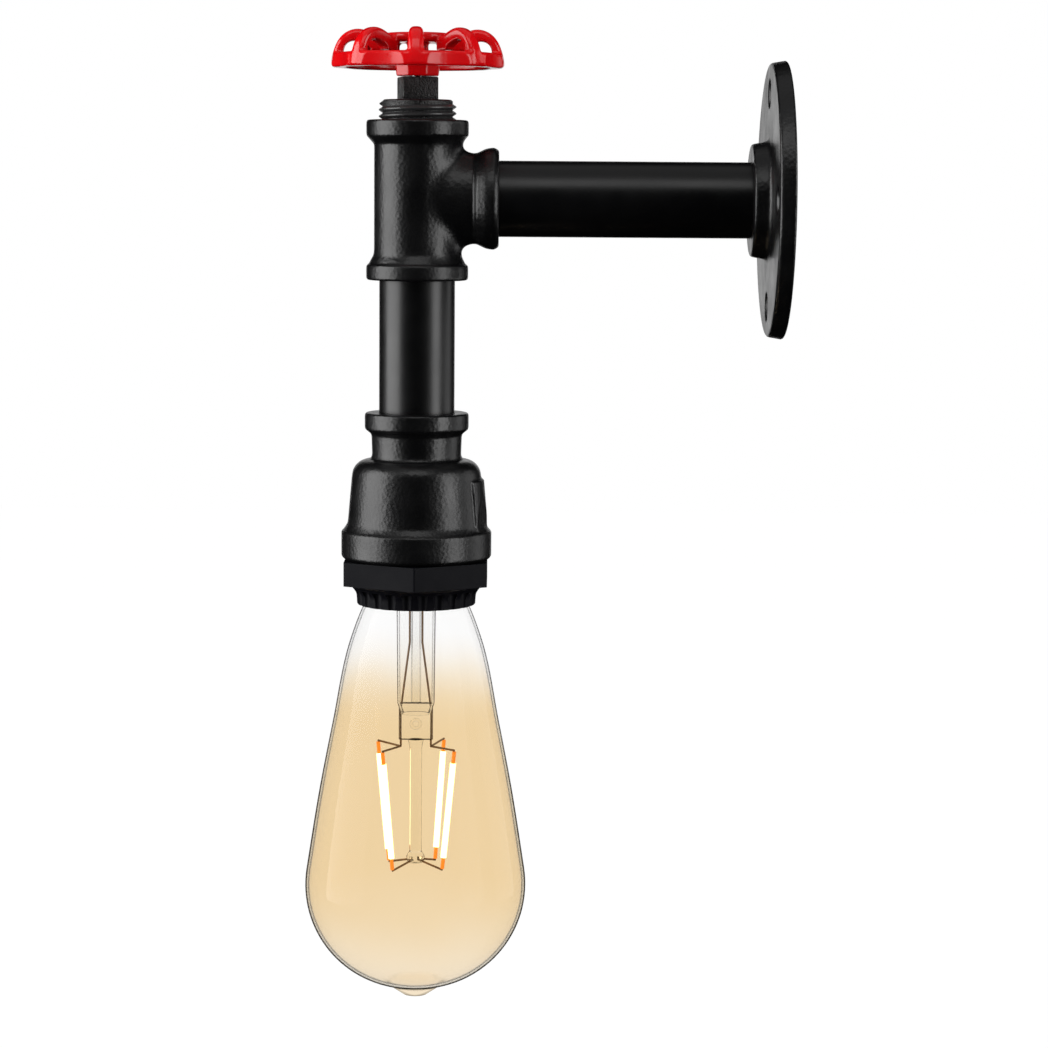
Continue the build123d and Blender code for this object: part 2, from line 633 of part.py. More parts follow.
def screw_shell():
    """Thin metal shell that takes the lamp's cap, with an inward lip riveted to the core."""
    outer = SHELL_INNER_RADIUS + SHELL_WALL
    shell = turned(
        (SHELL_INNER_RADIUS, SHELL_BOTTOM),
        (outer, SHELL_BOTTOM),
        (outer, CORE_SEAT, 0.5),
        (SHELL_LIP_INNER_RADIUS, CORE_SEAT),
        (SHELL_LIP_INNER_RADIUS, CORE_SEAT - SHELL_WALL),
        (SHELL_INNER_RADIUS, CORE_SEAT - SHELL_WALL),
    )
    shell -= Pos(-TERMINAL_OFFSET + 1, 0, CORE_SEAT) * Box(10, STRIP_WIDTH + 1.6, 2)
    for hole in RIVET_HOLES:
        shell -= rod((*hole, CORE_SEAT + 1), (*hole, CORE_SEAT - 1), RIVET_RADIUS + 0.02)
    return LAMP_AXIS * shell


def strip_along(points):
    """Flat metal strip whose middle line follows points in the XZ plane."""
    line = Polyline(*points)
    outline = offset(line, STRIP_THICKNESS / 2, kind=Kind.INTERSECTION)
    return extrude(Plane.XZ * make_face(outline), STRIP_WIDTH / 2, both=True)


def terminal_strip_points():
    """Middle line of the tab on the pocket's floor and of the riser below it, at the +X side."""
    floor = CORE_SEAT + CORE_THICKNESS - POCKET_DEPTH + STRIP_THICKNESS / 2
    riser = TERMINAL_OFFSET - RISER_OFFSET
    return [(TERMINAL_OFFSET + 3.0, floor), (riser, floor)]


def drilled_strip(points):
    """Contact strip with the hole for its terminal screw."""
    top = CORE_SEAT + CORE_THICKNESS
    start = (TERMINAL_OFFSET, -SCREW_OFF_CENTRE, top)
    hole = rod(start, (*start[:2], top - POCKET_DEPTH - 0.6), TERMINAL_SCREW_RADIUS + 0.05)
    return strip_along(points) - hole


def side_contact():
    """Strip from the neutral terminal down to the screw shell's lip."""
    foot = CORE_SEAT + STRIP_THICKNESS / 2
    riser = TERMINAL_OFFSET - RISER_OFFSET
    points = terminal_strip_points() + [(riser, foot), (TERMINAL_OFFSET + 2.8, foot)]
    return LAMP_AXIS * drilled_strip(points)


def centre_contact():
    """Springy strip from the live terminal to the middle, where the lamp's tip presses."""
    under = CORE_SEAT - STRIP_THICKNESS / 2 - 0.02
    riser = TERMINAL_OFFSET - RISER_OFFSET
    tongue = CONTACT_TOP + 0.2 + STRIP_THICKNESS / 2
    points = terminal_strip_points() + [(riser, under), (3.0, tongue), (-2.6, tongue)]
    return LAMP_AXIS * Rot(0, 0, 180) * drilled_strip(points)


def screw(head_radius, head_height, shank_radius, length):
    """Cheese-head screw, hanging from the underside of its head at height zero."""
    body = turned(
        (0, head_height),
        (head_radius, head_height, 0.25),
        (head_radius, 0),
        (shank_radius, 0),
        (shank_radius, 0.3 - length),
        (shank_radius - 0.3, -length),
        (0, -length),
    )
    slot = Pos(0, 0, head_height) * Box(0.6, 3 * head_radius, head_height)
    return body - slot


def terminal_screws():
    seat = CORE_SEAT + CORE_THICKNESS - POCKET_DEPTH + STRIP_THICKNESS
    shank = TERMINAL_SCREW_RADIUS - 0.05
    one = screw(TERMINAL_HEAD_RADIUS, TERMINAL_HEAD_HEIGHT, shank, TERMINAL_SCREW_LENGTH)
    placed = ring_of(Pos(TERMINAL_OFFSET, -SCREW_OFF_CENTRE, seat) * one, 2)
    return LAMP_AXIS * Compound(children=placed)


def shell_rivets():
    """Tubular rivets that hold the shell's lip to the core."""
    top = CORE_SEAT + CORE_THICKNESS
    under = CORE_SEAT - SHELL_WALL
    rivet = turned(
        (0.5, top + 0.5),
        (RIVET_RADIUS + 0.7, top + 0.5, 0.2),
        (RIVET_RADIUS + 0.7, top),
        (RIVET_RADIUS, top),
        (RIVET_RADIUS, under),
        (RIVET_RADIUS + 0.7, under),
        (RIVET_RADIUS + 0.7, under - 0.5, 0.2),
        (0.5, under - 0.5),
    )
    return LAMP_AXIS * Compound(children=[Pos(*hole, 0) * rivet for hole in RIVET_HOLES])


# ---- earth and wiring ---------------------------------------------------------------------------


def earth_tag():
    """Ring tag under the ledge, crimped to the end of the earth lead."""
    middle = LEDGE_HEIGHT - TAG_THICKNESS / 2
    eye = Pos(0, -EARTH_SCREW_CIRCLE, middle) * Cylinder(2.9, TAG_THICKNESS)
    tongue = Pos(0, -EARTH_SCREW_CIRCLE + 2.6, middle) * Box(2.6, 3.4, TAG_THICKNESS)
    barrel = rod((0, -CRIMP_OUTER, CRIMP_HEIGHT), (0, -CRIMP_INNER, CRIMP_HEIGHT), CRIMP_RADIUS)
    tag = eye + tongue + barrel
    tag -= rod((0, -CRIMP_OUTER + 0.8, CRIMP_HEIGHT), (0, 0, CRIMP_HEIGHT), LEAD_RADIUS + 0.02)
    tag -= Pos(0, -EARTH_SCREW_CIRCLE, middle) * Cylinder(1.55, 3)
    return LAMP_AXIS * tag


def earth_screw():
    one = screw(2.5, 1.5, 1.45, 3.2)
    place = Pos(0, -EARTH_SCREW_CIRCLE, LEDGE_HEIGHT - TAG_THICKNESS)
    return LAMP_AXIS * place * DOWN * one


def lead_route(start_points, lane):
    """Points and bend radii of a lead: up the drop pipe, round through the tee, along the arm."""
    plane = LEAD_PLANE
    corner = (lane, plane, -lane)
    end = (REACH + LEAD_END, plane, -lane)
    points = start_points + [(lane, plane, LEDGE_HEIGHT + 6), corner, end]
    return points, [4.0] * (len(points) - 3) + [LEAD_BEND - lane]


def switched_lead(side):
    """Lead from a terminal at one side, side being -1 for live and +1 for neutral."""
    tab_top = CORE_SEAT + CORE_THICKNESS - POCKET_DEPTH + STRIP_THICKNESS
    beside = side * WIRE_BESIDE_SCREW
    start = [
        (side * TERMINAL_OFFSET, beside, tab_top),
        (side * TERMINAL_OFFSET, beside, tab_top + 2.4),
    ]
    points, bends = lead_route(start, side * LEAD_PITCH)
    bends[0] = 2.2
    return LAMP_AXIS * wire(points, bends, LEAD_RADIUS)


def live_lead():
    return switched_lead(-1)


def neutral_lead():
    return switched_lead(1)


def earth_lead():
    start = [(0, -CRIMP_OUTER + 0.8, CRIMP_HEIGHT), (0, LEAD_PLANE, CRIMP_HEIGHT)]
    points, bends = lead_route(start, 0.0)
    del points[2]
    del bends[1]
    bends[0] = 2.0
    return LAMP_AXIS * wire(points, bends, LEAD_RADIUS)


def lead_ferrules():
    """Crimped ends of the three leads, inside the flange's bore."""
    ferrule = turned(
        (0, 0),
        (LEAD_RADIUS + 0.3, 0),
        (LEAD_RADIUS + 0.3, 1.6),
        (FERRULE_RADIUS, 2.2),
        (FERRULE_RADIUS, FERRULE_END - LEAD_END),
        (0, FERRULE_END - LEAD_END),
    )
    lanes = [-LEAD_PITCH, 0, LEAD_PITCH]
    placed = [Pos(LEAD_END, LEAD_PLANE, height) * along_arm(ferrule) for height in lanes]
    return Compound(children=placed)


# ---- lamp ---------------------------------------------------------------------------------------


def bulb_outline(inset):
    """Half outline of the glass from neck to bowl, as a curve moved in by the glass wall."""
    neck = NECK_GLASS_RADIUS - inset
    arc_centre = BULB_RADIUS - BOWL_ARC_RADIUS
    arc_radius = BOWL_ARC_RADIUS - inset
    lean = radians(BOWL_START)
    start = (arc_centre + arc_radius * cos(lean), BULB_WIDEST + arc_radius * sin(lean))
    side = Spline(
        (neck, CAP_BOTTOM + 0.6),
        *[(side_radius - inset, height) for side_radius, height in BULB_SIDE],
        start,
        tangents=[(0.12, -1), (sin(lean), -cos(lean))],
    )
    slope = radians(45)
    middle = (arc_centre + arc_radius * cos(slope), BULB_WIDEST - arc_radius * sin(slope))
    bottom = (arc_centre, BULB_WIDEST - arc_radius)
    return side, ThreePointArc(start, middle, bottom), neck, bottom


def bulb_body(inset, top):
    """Solid that the outline sweeps round the lamp axis."""
    side, bowl, neck, bottom = bulb_outline(inset)
    outline = Curve() + [
        Line((0, top), (neck, top)),
        Line((neck, top), side @ 0),
        side,
        bowl,
        Line(bottom, (0, bottom[1])),
        Line((0, bottom[1]), (0, top)),
    ]
    return revolve(make_face(Plane.XZ * outline), Axis.Z)


def bulb_glass():
    """Blown glass envelope, open at the neck, with the sealed-off tip at its end."""
    bottom = BULB_WIDEST - BOWL_ARC_RADIUS
    tip = turned(
        (0, bottom + 0.4),
        (TIP_BASE_RADIUS, bottom + 0.4),
        (TIP_BASE_RADIUS - 1.6, bottom - 0.3, 2.0),
        (3.2, BULB_TIP + 0.6, 1.6),
        (0, BULB_TIP),
    )
    glass = bulb_body(0, NECK_GLASS_TOP) + tip
    return LAMP_AXIS * (glass - bulb_body(GLASS_WALL, NECK_GLASS_TOP + 1))


def bulb_cap():
    """Screw cap shell, drawn from thin metal."""
    crown = CAP_TOP_RADIUS
    shell = turned(
        (CAP_RADIUS - CAP_WALL, CAP_BOTTOM),
        (CAP_RADIUS + 0.1, CAP_BOTTOM),
        (CAP_RADIUS, CAP_BOTTOM + 2.5),
        (CAP_RADIUS, CAP_SHOULDER, 0.6),
        (crown, CAP_SHOULDER + 2.0),
        (crown - CAP_WALL, CAP_SHOULDER + 1.6),
        (CAP_RADIUS - CAP_WALL, CAP_SHOULDER - 0.5),
        (CAP_RADIUS - CAP_WALL, CAP_BOTTOM + 2.5),
    )
    return LAMP_AXIS * shell


def cap_insulator():
    """Black glass ring between the cap's shell and its end contact."""
    ring = turned(
        (1.2, CAP_SHOULDER + 1.6),
        (CAP_TOP_RADIUS - CAP_WALL - 0.02, CAP_SHOULDER + 1.6),
        (CAP_TOP_RADIUS - 0.4, CAP_SHOULDER + 2.0),
        (CONTACT_RADIUS + 0.8, CONTACT_BASE, 0.6),
        (1.2, CONTACT_BASE),
    )
    return LAMP_AXIS * ring


def cap_contact():
    button = turned(
        (0, CONTACT_TOP),
        (CONTACT_RADIUS - 1.2, CONTACT_TOP, 0.5),
        (CONTACT_RADIUS, CONTACT_BASE),
        (0, CONTACT_BASE),
    )
    return LAMP_AXIS * button


def glass_stem():
    """Flared stem tube with its flat press, which seals the feed wires."""
    flare_top = NECK_GLASS_TOP - 1.0
    neck_inside = NECK_GLASS_RADIUS - GLASS_WALL - 0.02
    tube = turned(
        (neck_inside - STEM_WALL, flare_top),
        (neck_inside, flare_top),
        (STEM_RADIUS + 0.3, flare_top - 6.0, 3.0),
        (STEM_RADIUS, STEM_END),
        (STEM_RADIUS - 1.0, PRESS_TOP),
        (STEM_RADIUS - 1.0 - STEM_WALL, PRESS_TOP),
        (STEM_RADIUS - STEM_WALL, STEM_END),
        (STEM_RADIUS + 0.3 - STEM_WALL, flare_top - 6.6, 3.0),
    )
    press_height = STEM_END - PRESS_BOTTOM
    press = Box(PRESS_WIDTH, PRESS_THICKNESS, press_height)
    press = fillet(press.edges().filter_by(Axis.Z), 1.1)
    stem = tube + Pos(0, 0, (STEM_END + PRESS_BOTTOM) / 2) * press
    for side in (-1, 1):
        stem -= feed_wire(side)
    return LAMP_AXIS * stem


def feed_wire(side):
    """Wire from the driver board down the stem and out of the press, at one side."""
    outer = side * FEED_WIRE_OFFSET
    points = [
        (side * 1.8, 0, BOARD_BOTTOM),
        (side * 1.8, 0, -126.0),
        (outer, 0, PRESS_TOP + 1.5),
        (outer, 0, FEED_WIRE_END),
    ]
    return wire(points, [6.0, 6.0], FEED_WIRE_RADIUS)


def feed_wires():
    return LAMP_AXIS * Compound(children=[feed_wire(-1), feed_wire(1)])


def centre_rod():
    """Glass rod below the press, with the bead that the lower supports are set in."""
    body = turned(
        (0, PRESS_BOTTOM),
        (ROD_RADIUS + 0.5, PRESS_BOTTOM),
        (ROD_RADIUS, PRESS_BOTTOM - 2.5),
        (ROD_RADIUS, ROD_BOTTOM + 3.4, 1.0),
        (ROD_RADIUS + 0.9, ROD_BOTTOM + 1.8, 0.8),
        (ROD_RADIUS + 0.5, ROD_BOTTOM, 0.6),
        (0, ROD_BOTTOM),
    )
    for angle in FILAMENT_ANGLES:
        body -= lower_support(angle)
    return LAMP_AXIS * body


def filament_ends(angle):
    """Top and bottom points of one leaning filament."""
    top = around(angle, FILAMENT_TOP_CIRCLE, FILAMENT_TOP)
    bottom = around(angle, FILAMENT_BOTTOM_CIRCLE, FILAMENT_BOTTOM)
    return Vector(top), Vector(bottom)


def filament(angle):
    top, bottom = filament_ends(angle)
    lean = (bottom - top).normalized()
    return rod(top + lean * FILAMENT_TIP_LENGTH, bottom - lean * FILAMENT_TIP_LENGTH, FILAMENT_RADIUS)


def filaments():
    return LAMP_AXIS * Compound(children=[filament(angle) for angle in FILAMENT_ANGLES])


def filament_tips():
    """Metal end pieces of the filaments, two on each."""
    tips = []
    for angle in FILAMENT_ANGLES:
        top, bottom = filament_ends(angle)
        lean = (bottom - top).normalized() * FILAMENT_TIP_LENGTH
        tips.append(rod(top, top + lean, FILAMENT_TIP_RADIUS))
        tips.append(rod(bottom - lean, bottom, FILAMENT_TIP_RADIUS))
    return LAMP_AXIS * Compound(children=tips)


def upper_support(angle):
    """Wire from the end of a feed wire out to the top of one filament."""
    top, _ = filament_ends(angle)
    side = 1 if top.X > 0 else -1
    start = (side * FEED_WIRE_OFFSET, 0, FEED_WIRE_END - FEED_WIRE_RADIUS)
    return rod(start, top + Vector(0, 0, WELD_RISE), FEED_WIRE_RADIUS)


def upper_supports():
    """Two forked wires that hang the filaments from the feed wires."""
    right = [upper_support(angle) for angle in FILAMENT_ANGLES if cos(radians(angle)) > 0]
    left = [upper_support(angle) for angle in FILAMENT_ANGLES if cos(radians(angle)) < 0]
    return LAMP_AXIS * Compound(children=[right[0] + right[1], left[0] + left[1]])


def lower_support(angle):
    """Wire from the bead to the bottom of one filament."""
    _, bottom = filament_ends(angle)
    start = around(angle, 0.9, ROD_BOTTOM + 1.0)
    return rod(start, bottom - Vector(0, 0, WELD_RISE), FEED_WIRE_RADIUS)


def lower_supports():
    return LAMP_AXIS * Compound(children=[lower_support(angle) for angle in FILAMENT_ANGLES])


def driver_board():
    """Small circuit board inside the lamp's cap."""
    height = BOARD_TOP - BOARD_BOTTOM
    board = Pos(0, 0, (BOARD_TOP + BOARD_BOTTOM) / 2) * Box(BOARD_WIDTH, BOARD_THICKNESS, height)
    rectifier = Pos(-3.8, -1.3, BOARD_BOTTOM + 4.0) * Box(4.4, 1.6, 3.8)
    return LAMP_AXIS * (board + rectifier)


def driver_capacitor():
    radius = 2.8
    base = Vector(2.6, BOARD_THICKNESS / 2 + radius, BOARD_BOTTOM + 2.5)
    return LAMP_AXIS * rod(base, base + Vector(0, 0, 8.5), radius)


# ---- writing the pieces -------------------------------------------------------------------------

PIECES = [
    wall_flange,
    arm_pipe,
    tee,
    drop_pipe,
    reducing_socket,
    square_head_plug,
    wheel_screw,
    handwheel,
    holder_body,
    holder_core,
    screw_shell,
    shell_rivets,
    centre_contact,
    side_contact,
    terminal_screws,
    earth_tag,
    earth_screw,
    live_lead,
    neutral_lead,
    earth_lead,
    lead_ferrules,
    bulb_glass,
    bulb_cap,
    cap_insulator,
    cap_contact,
    glass_stem,
    centre_rod,
    feed_wires,
    upper_supports,
    lower_supports,
    filaments,
    filament_tips,
    driver_board,
    driver_capacitor,
]

os.makedirs("parts", exist_ok=True)
for piece in PIECES:
    export_step(piece(), f"parts/{piece.__name__}.step")
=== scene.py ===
"""Looks of an industrial pipe wall light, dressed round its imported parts.

Lengths are metres in the part's own frame: the wall is the plane x = 0, +Z is up, the arm runs along -X
and the lamp hangs below the tee. Sizes written in millimetres carry the factor MM, or have a name that
ends in _mm.
"""

import logging
from dataclasses import dataclass, field
from enum import Enum
from math import acos, atan, cos, pi, radians, sin

import bmesh
import bpy
from mathutils import Matrix, Vector
from mathutils.geometry import interpolate_bezier


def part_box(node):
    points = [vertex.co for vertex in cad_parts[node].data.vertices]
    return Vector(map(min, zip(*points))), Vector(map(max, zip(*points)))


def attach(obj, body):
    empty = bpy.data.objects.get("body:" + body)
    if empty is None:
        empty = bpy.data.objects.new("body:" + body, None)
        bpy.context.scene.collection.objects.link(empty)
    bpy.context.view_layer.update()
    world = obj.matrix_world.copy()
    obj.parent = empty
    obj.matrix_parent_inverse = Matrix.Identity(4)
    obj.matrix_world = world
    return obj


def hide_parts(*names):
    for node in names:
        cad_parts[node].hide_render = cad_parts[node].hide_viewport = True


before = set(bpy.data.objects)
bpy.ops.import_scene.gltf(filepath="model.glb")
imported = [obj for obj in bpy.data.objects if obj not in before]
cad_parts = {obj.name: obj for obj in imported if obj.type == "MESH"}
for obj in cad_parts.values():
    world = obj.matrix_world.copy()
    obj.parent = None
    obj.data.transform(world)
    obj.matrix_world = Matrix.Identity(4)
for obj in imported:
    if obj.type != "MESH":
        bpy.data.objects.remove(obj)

MM = 0.001
SHARP_EDGE = radians(36)  # faces that meet at more than this keep a crisp edge
MERGE = 1e-7  # vertices that lie closer than this become one
CAD_MERGE = 2e-6  # the same for a copy of a CAD node, whose triangles are loose
SMOOTHING = 0.5  # share of the way to its neighbours' middle that a vertex moves in one round
NOISE_RANGE = (0.3, 0.7)  # a noise texture's values mostly lie between these

log = logging.getLogger("wall_light")


class Body(Enum):
    """The rigid bodies that a piece can ride on."""

    FITTING = "fitting"
    WHEEL = "wheel"
    LAMP = "lamp"


# ---- finishes -----------------------------------------------------------------------------------


def linear(code: str) -> tuple[float, float, float, float]:
    """Turns an sRGB hex colour into linear light, by the curve of the sRGB standard.

    Args:
        code: Colour such as "#E8120C".

    Returns:
        Linear red, green, blue and an alpha of 1.
    """
    parts = [int(code[place : place + 2], 16) / 255 for place in (1, 3, 5)]
    curve = [part / 12.92 if part <= 0.04045 else ((part + 0.055) / 1.055) ** 2.4 for part in parts]
    return (*curve, 1.0)


def bare_tree(owner: bpy.types.Material | bpy.types.World) -> bpy.types.NodeTree:
    """Gives a material or a world a node tree with nothing in it.

    Args:
        owner: The material or the world.

    Returns:
        Its empty tree.
    """
    owner.use_nodes = True
    owner.node_tree.nodes.clear()
    return owner.node_tree


def add(tree: bpy.types.NodeTree, kind: str, values: dict | None = None, **settings) -> bpy.types.Node:
    """Adds a node with its settings, its values and its links.

    Args:
        tree: Node tree that gets the node.
        kind: Blender's name for the node type.
        values: Input name or number to a value, or to the output socket that feeds it.
        **settings: Properties of the node itself.

    Returns:
        The new node.
    """
    node = tree.nodes.new(kind)
    for name, setting in settings.items():
        setattr(node, name, setting)
    for key, value in (values or {}).items():
        socket = node.inputs[key]
        if isinstance(value, bpy.types.NodeSocket):
            tree.links.new(value, socket)
        else:
            socket.default_value = value
    return node


@dataclass(frozen=True)
class Finish:
    """A surface finish, which makes its material once and hands the same one out again."""

    name: str

    def shade(self, tree: bpy.types.NodeTree, place: bpy.types.NodeSocket) -> bpy.types.NodeSocket:
        """Adds the nodes of the finish.

        Args:
            tree: The material's node tree.
            place: Object coordinates, in metres.

        Returns:
            The shader's output socket.
        """
        raise NotImplementedError

    def material(self) -> bpy.types.Material:
        """Makes the finish's material on its first use.

        Returns:
            The material, which is the same one at every call.
        """
        made = bpy.data.materials.get(self.name)
        if made:
            return made
        made = bpy.data.materials.new(self.name)
        tree = bare_tree(made)
        place = add(tree, "ShaderNodeTexCoord").outputs["Object"]
        add(tree, "ShaderNodeOutputMaterial", {"Surface": self.shade(tree, place)})
        return made


@dataclass(frozen=True)
class Coating(Finish):
    """Paint, enamel, plastic or ceramic: one colour with a mottled tone and a fine skin."""

    colour: str
    tone: str  # second colour, which the first drifts to in patches
    roughness: float
    spread: float = 0.05  # how far the roughness drifts either way
    grain_mm: float = 0.6
    depth_mm: float = 0.02
    patch_mm: float = 9.0
    grain_detail: float = 2.0
    patch_detail: float = 3.0
    settings: tuple[tuple[str, float], ...] = ()  # further sockets of the shader, with their values

    def shade(self, tree: bpy.types.NodeTree, place: bpy.types.NodeSocket) -> bpy.types.NodeSocket:
        """Adds the nodes of the coating.

        Args:
            tree: The material's node tree.
            place: Object coordinates, in metres.

        Returns:
            The shader's output socket.
        """
        patches = add(
            tree,
            "ShaderNodeTexNoise",
            {"Vector": place, "Scale": 1 / (self.patch_mm * MM), "Detail": self.patch_detail},
        )
        grain = add(
            tree,
            "ShaderNodeTexNoise",
            {"Vector": place, "Scale": 1 / (self.grain_mm * MM), "Detail": self.grain_detail},
        )
        tint = add(
            tree,
            "ShaderNodeMix",
            {"Factor": patches.outputs["Fac"], "A": linear(self.colour), "B": linear(self.tone)},
            data_type="RGBA",
        )
        low, high = NOISE_RANGE
        gloss = add(
            tree,
            "ShaderNodeMapRange",
            {
                "Value": patches.outputs["Fac"],
                "From Min": low,
                "From Max": high,
                "To Min": self.roughness - self.spread,
                "To Max": self.roughness + self.spread,
            },
        )
        bump = add(
            tree,
            "ShaderNodeBump",
            {"Height": grain.outputs["Fac"], "Distance": self.depth_mm * MM},
        )
        values = {
            "Base Color": tint.outputs["Result"],
            "Roughness": gloss.outputs["Result"],
            "Normal": bump.outputs["Normal"],
            **dict(self.settings),
        }
        return add(tree, "ShaderNodeBsdfPrincipled", values).outputs["BSDF"]


@dataclass(frozen=True)
class CastSkin(Coating):
    """Paint over sand-cast iron: the sand leaves pits and crumbs that the paint doesn't fill.

    The crumbs are drawn coarser than grains of moulding sand, so that they show.
    """

    crumb_mm: float = 1.1
    crumb_depth_mm: float = 0.05

    def shade(self, tree: bpy.types.NodeTree, place: bpy.types.NodeSocket) -> bpy.types.NodeSocket:
        """Adds the nodes of the coating, then lays the crumbs over its grain.

        Args:
            tree: The material's node tree.
            place: Object coordinates, in metres.

        Returns:
            The shader's output socket.
        """
        socket = super().shade(tree, place)
        shader = socket.node
        fine = shader.inputs["Normal"].links[0].from_socket
        crumbs = add(
            tree,
            "ShaderNodeTexVoronoi",
            {"Vector": place, "Scale": 1 / (self.crumb_mm * MM), "Randomness": 1.0},
        )
        rough = add(
            tree,
            "ShaderNodeBump",
            {"Height": crumbs.outputs["Distance"], "Distance": self.crumb_depth_mm * MM, "Normal": fine},
        )
        tree.links.new(rough.outputs["Normal"], shader.inputs["Normal"])
        return socket


@dataclass(frozen=True)
class Metal(Finish):
    """Bare or plated metal with fine marks of how it was drawn, stamped or turned.

    The marks are drawn coarser than real ones, so that they show.
    """

    colour: str
    roughness: float
    mark_mm: tuple[float, float, float] = (0.4, 0.4, 0.4)  # size of a mark along X, Y and Z
    depth_mm: float = 0.006
    mark_detail: float = 4.0
    drift: float = 0.3  # share by which the roughness comes and goes with the marks

    def shade(self, tree: bpy.types.NodeTree, place: bpy.types.NodeSocket) -> bpy.types.NodeSocket:
        """Adds the nodes of the metal.

        Args:
            tree: The material's node tree.
            place: Object coordinates, in metres.

        Returns:
            The shader's output socket.
        """
        scale = tuple(1 / (size * MM) for size in self.mark_mm)
        spread = add(tree, "ShaderNodeMapping", {"Vector": place, "Scale": scale})
        marks = add(
            tree,
            "ShaderNodeTexNoise",
            {"Vector": spread.outputs["Vector"], "Scale": 1.0, "Detail": self.mark_detail},
        )
        gloss = add(
            tree,
            "ShaderNodeMapRange",
            {
                "Value": marks.outputs["Fac"],
                "To Min": self.roughness * (1 - self.drift),
                "To Max": self.roughness * (1 + self.drift),
            },
        )
        bump = add(
            tree,
            "ShaderNodeBump",
            {"Height": marks.outputs["Fac"], "Distance": self.depth_mm * MM},
        )
        values = {
            "Base Color": linear(self.colour),
            "Metallic": 1.0,
            "Roughness": gloss.outputs["Result"],
            "Normal": bump.outputs["Normal"],
        }
        return add(tree, "ShaderNodeBsdfPrincipled", values).outputs["BSDF"]


@dataclass(frozen=True)
class Glass(Finish):
    """Glass that is clear above one height and tinted below another, with painted shade where it is seen
    edge on.
    """

    tint: str
    edge: str  # colour of the painted shade where the glass is seen edge on
    ior: float
    clear_above: float  # height in metres above which the glass has no tint
    tinted_below: float  # height in metres below which it has the whole tint
    edge_shade_start: float  # share of facing away from the eye at which the painted edge shade starts
    edge_shade_full: float
    thin_from: float = -0.9  # height in metres below which the tint thins out again
    thin_at: float = -1.0
    thinned: float = 1.0  # share of the tint that is left down there
    edge_shade_depth: float = 0.85  # share of the light that the painted edge shade takes
    tip_edge_shade_depth: float = 0.35  # the same share below the heights of body_fades
    body_fades: tuple[float, float] = (-1.0, -0.99)  # heights between which a mere film turns to solid glass
    cloud_mm: float = 26.0  # size of the clouds that make the tint's ends uneven
    cloud_depth_mm: float = 12.0  # how far they move those ends
    untinted: str = "#FDFDFD"
    mirrored: str = "#6C6C6C"  # tint of the reflections, so that the lamps leave few specks in the glass

    def shade(self, tree: bpy.types.NodeTree, place: bpy.types.NodeSocket) -> bpy.types.NodeSocket:
        """Adds the nodes of the glass.

        Args:
            tree: The material's node tree.
            place: Object coordinates, in metres.

        Returns:
            The shader's output socket.
        """
        height = add(tree, "ShaderNodeSeparateXYZ", {"Vector": place}).outputs["Z"]
        clouds = add(
            tree,
            "ShaderNodeTexNoise",
            {"Vector": place, "Scale": 1 / (self.cloud_mm * MM), "Detail": 1.0},
        )
        drift = add(
            tree,
            "ShaderNodeMath",
            {0: clouds.outputs["Fac"], 1: self.cloud_depth_mm * MM, 2: height},
            operation="MULTIPLY_ADD",
        )
        fade = add(
            tree,
            "ShaderNodeMapRange",
            {
                "Value": drift.outputs["Value"],
                "From Min": self.clear_above,
                "From Max": self.tinted_below,
            },
            interpolation_type="SMOOTHSTEP",
        )
        worn = add(
            tree,
            "ShaderNodeMapRange",
            {
                "Value": drift.outputs["Value"],
                "From Min": self.thin_from,
                "From Max": self.thin_at,
                "To Min": 1.0,
                "To Max": self.thinned,
            },
            interpolation_type="SMOOTHSTEP",
        )
        film = add(
            tree,
            "ShaderNodeMath",
            {0: fade.outputs["Result"], 1: worn.outputs["Result"]},
            operation="MULTIPLY",
        )
        tint = add(
            tree,
            "ShaderNodeMix",
            {"Factor": film.outputs["Value"], "A": linear(self.untinted), "B": linear(self.tint)},
            data_type="RGBA",
        )
        # Painted shade: where the glass is seen edge on, a near-black matt shader is mixed in. It stands in
        # for the dark surroundings that the glass refracts and reflects there.
        facing = add(tree, "ShaderNodeLayerWeight", {"Blend": 0.5}).outputs["Facing"]
        rim = add(
            tree,
            "ShaderNodeMapRange",
            {"Value": facing, "From Min": self.edge_shade_start, "From Max": self.edge_shade_full},
            interpolation_type="SMOOTHSTEP",
        )
        low, high = self.body_fades
        held = add(
            tree,
            "ShaderNodeMapRange",
            {
                "Value": height,
                "From Min": low,
                "From Max": high,
                "To Min": self.tip_edge_shade_depth,
                "To Max": self.edge_shade_depth,
            },
        )
        solid = add(tree, "ShaderNodeMapRange", {"Value": height, "From Min": low, "From Max": high})
        edge_shade = add(
            tree,
            "ShaderNodeMath",
            {0: rim.outputs["Result"], 1: held.outputs["Result"]},
            operation="MULTIPLY",
        )
        glass = add(
            tree,
            "ShaderNodeBsdfPrincipled",
            {
                "Base Color": tint.outputs["Result"],
                "Roughness": 0.0,
                "IOR": self.ior,
                "Transmission Weight": 1.0,
                "Specular Tint": linear(self.mirrored),
            },
        )
        thin = add(tree, "ShaderNodeBsdfTransparent", {"Color": tint.outputs["Result"]})
        body = add(
            tree,
            "ShaderNodeMixShader",
            {"Fac": solid.outputs["Result"], 1: thin.outputs["BSDF"], 2: glass.outputs["BSDF"]},
        )
        # The painted edge shade itself, a near-black matt surface.
        dark = add(tree, "ShaderNodeBsdfDiffuse", {"Color": linear(self.edge)})
        with_painted_edges = add(
            tree,
            "ShaderNodeMixShader",
            {"Fac": edge_shade.outputs["Value"], 1: body.outputs["Shader"], 2: dark.outputs["BSDF"]},
        )
        ray = add(tree, "ShaderNodeLightPath").outputs["Is Shadow Ray"]
        mixed = add(
            tree,
            "ShaderNodeMixShader",
            {"Fac": ray, 1: with_painted_edges.outputs["Shader"], 2: thin.outputs["BSDF"]},
        )
        return mixed.outputs["Shader"]


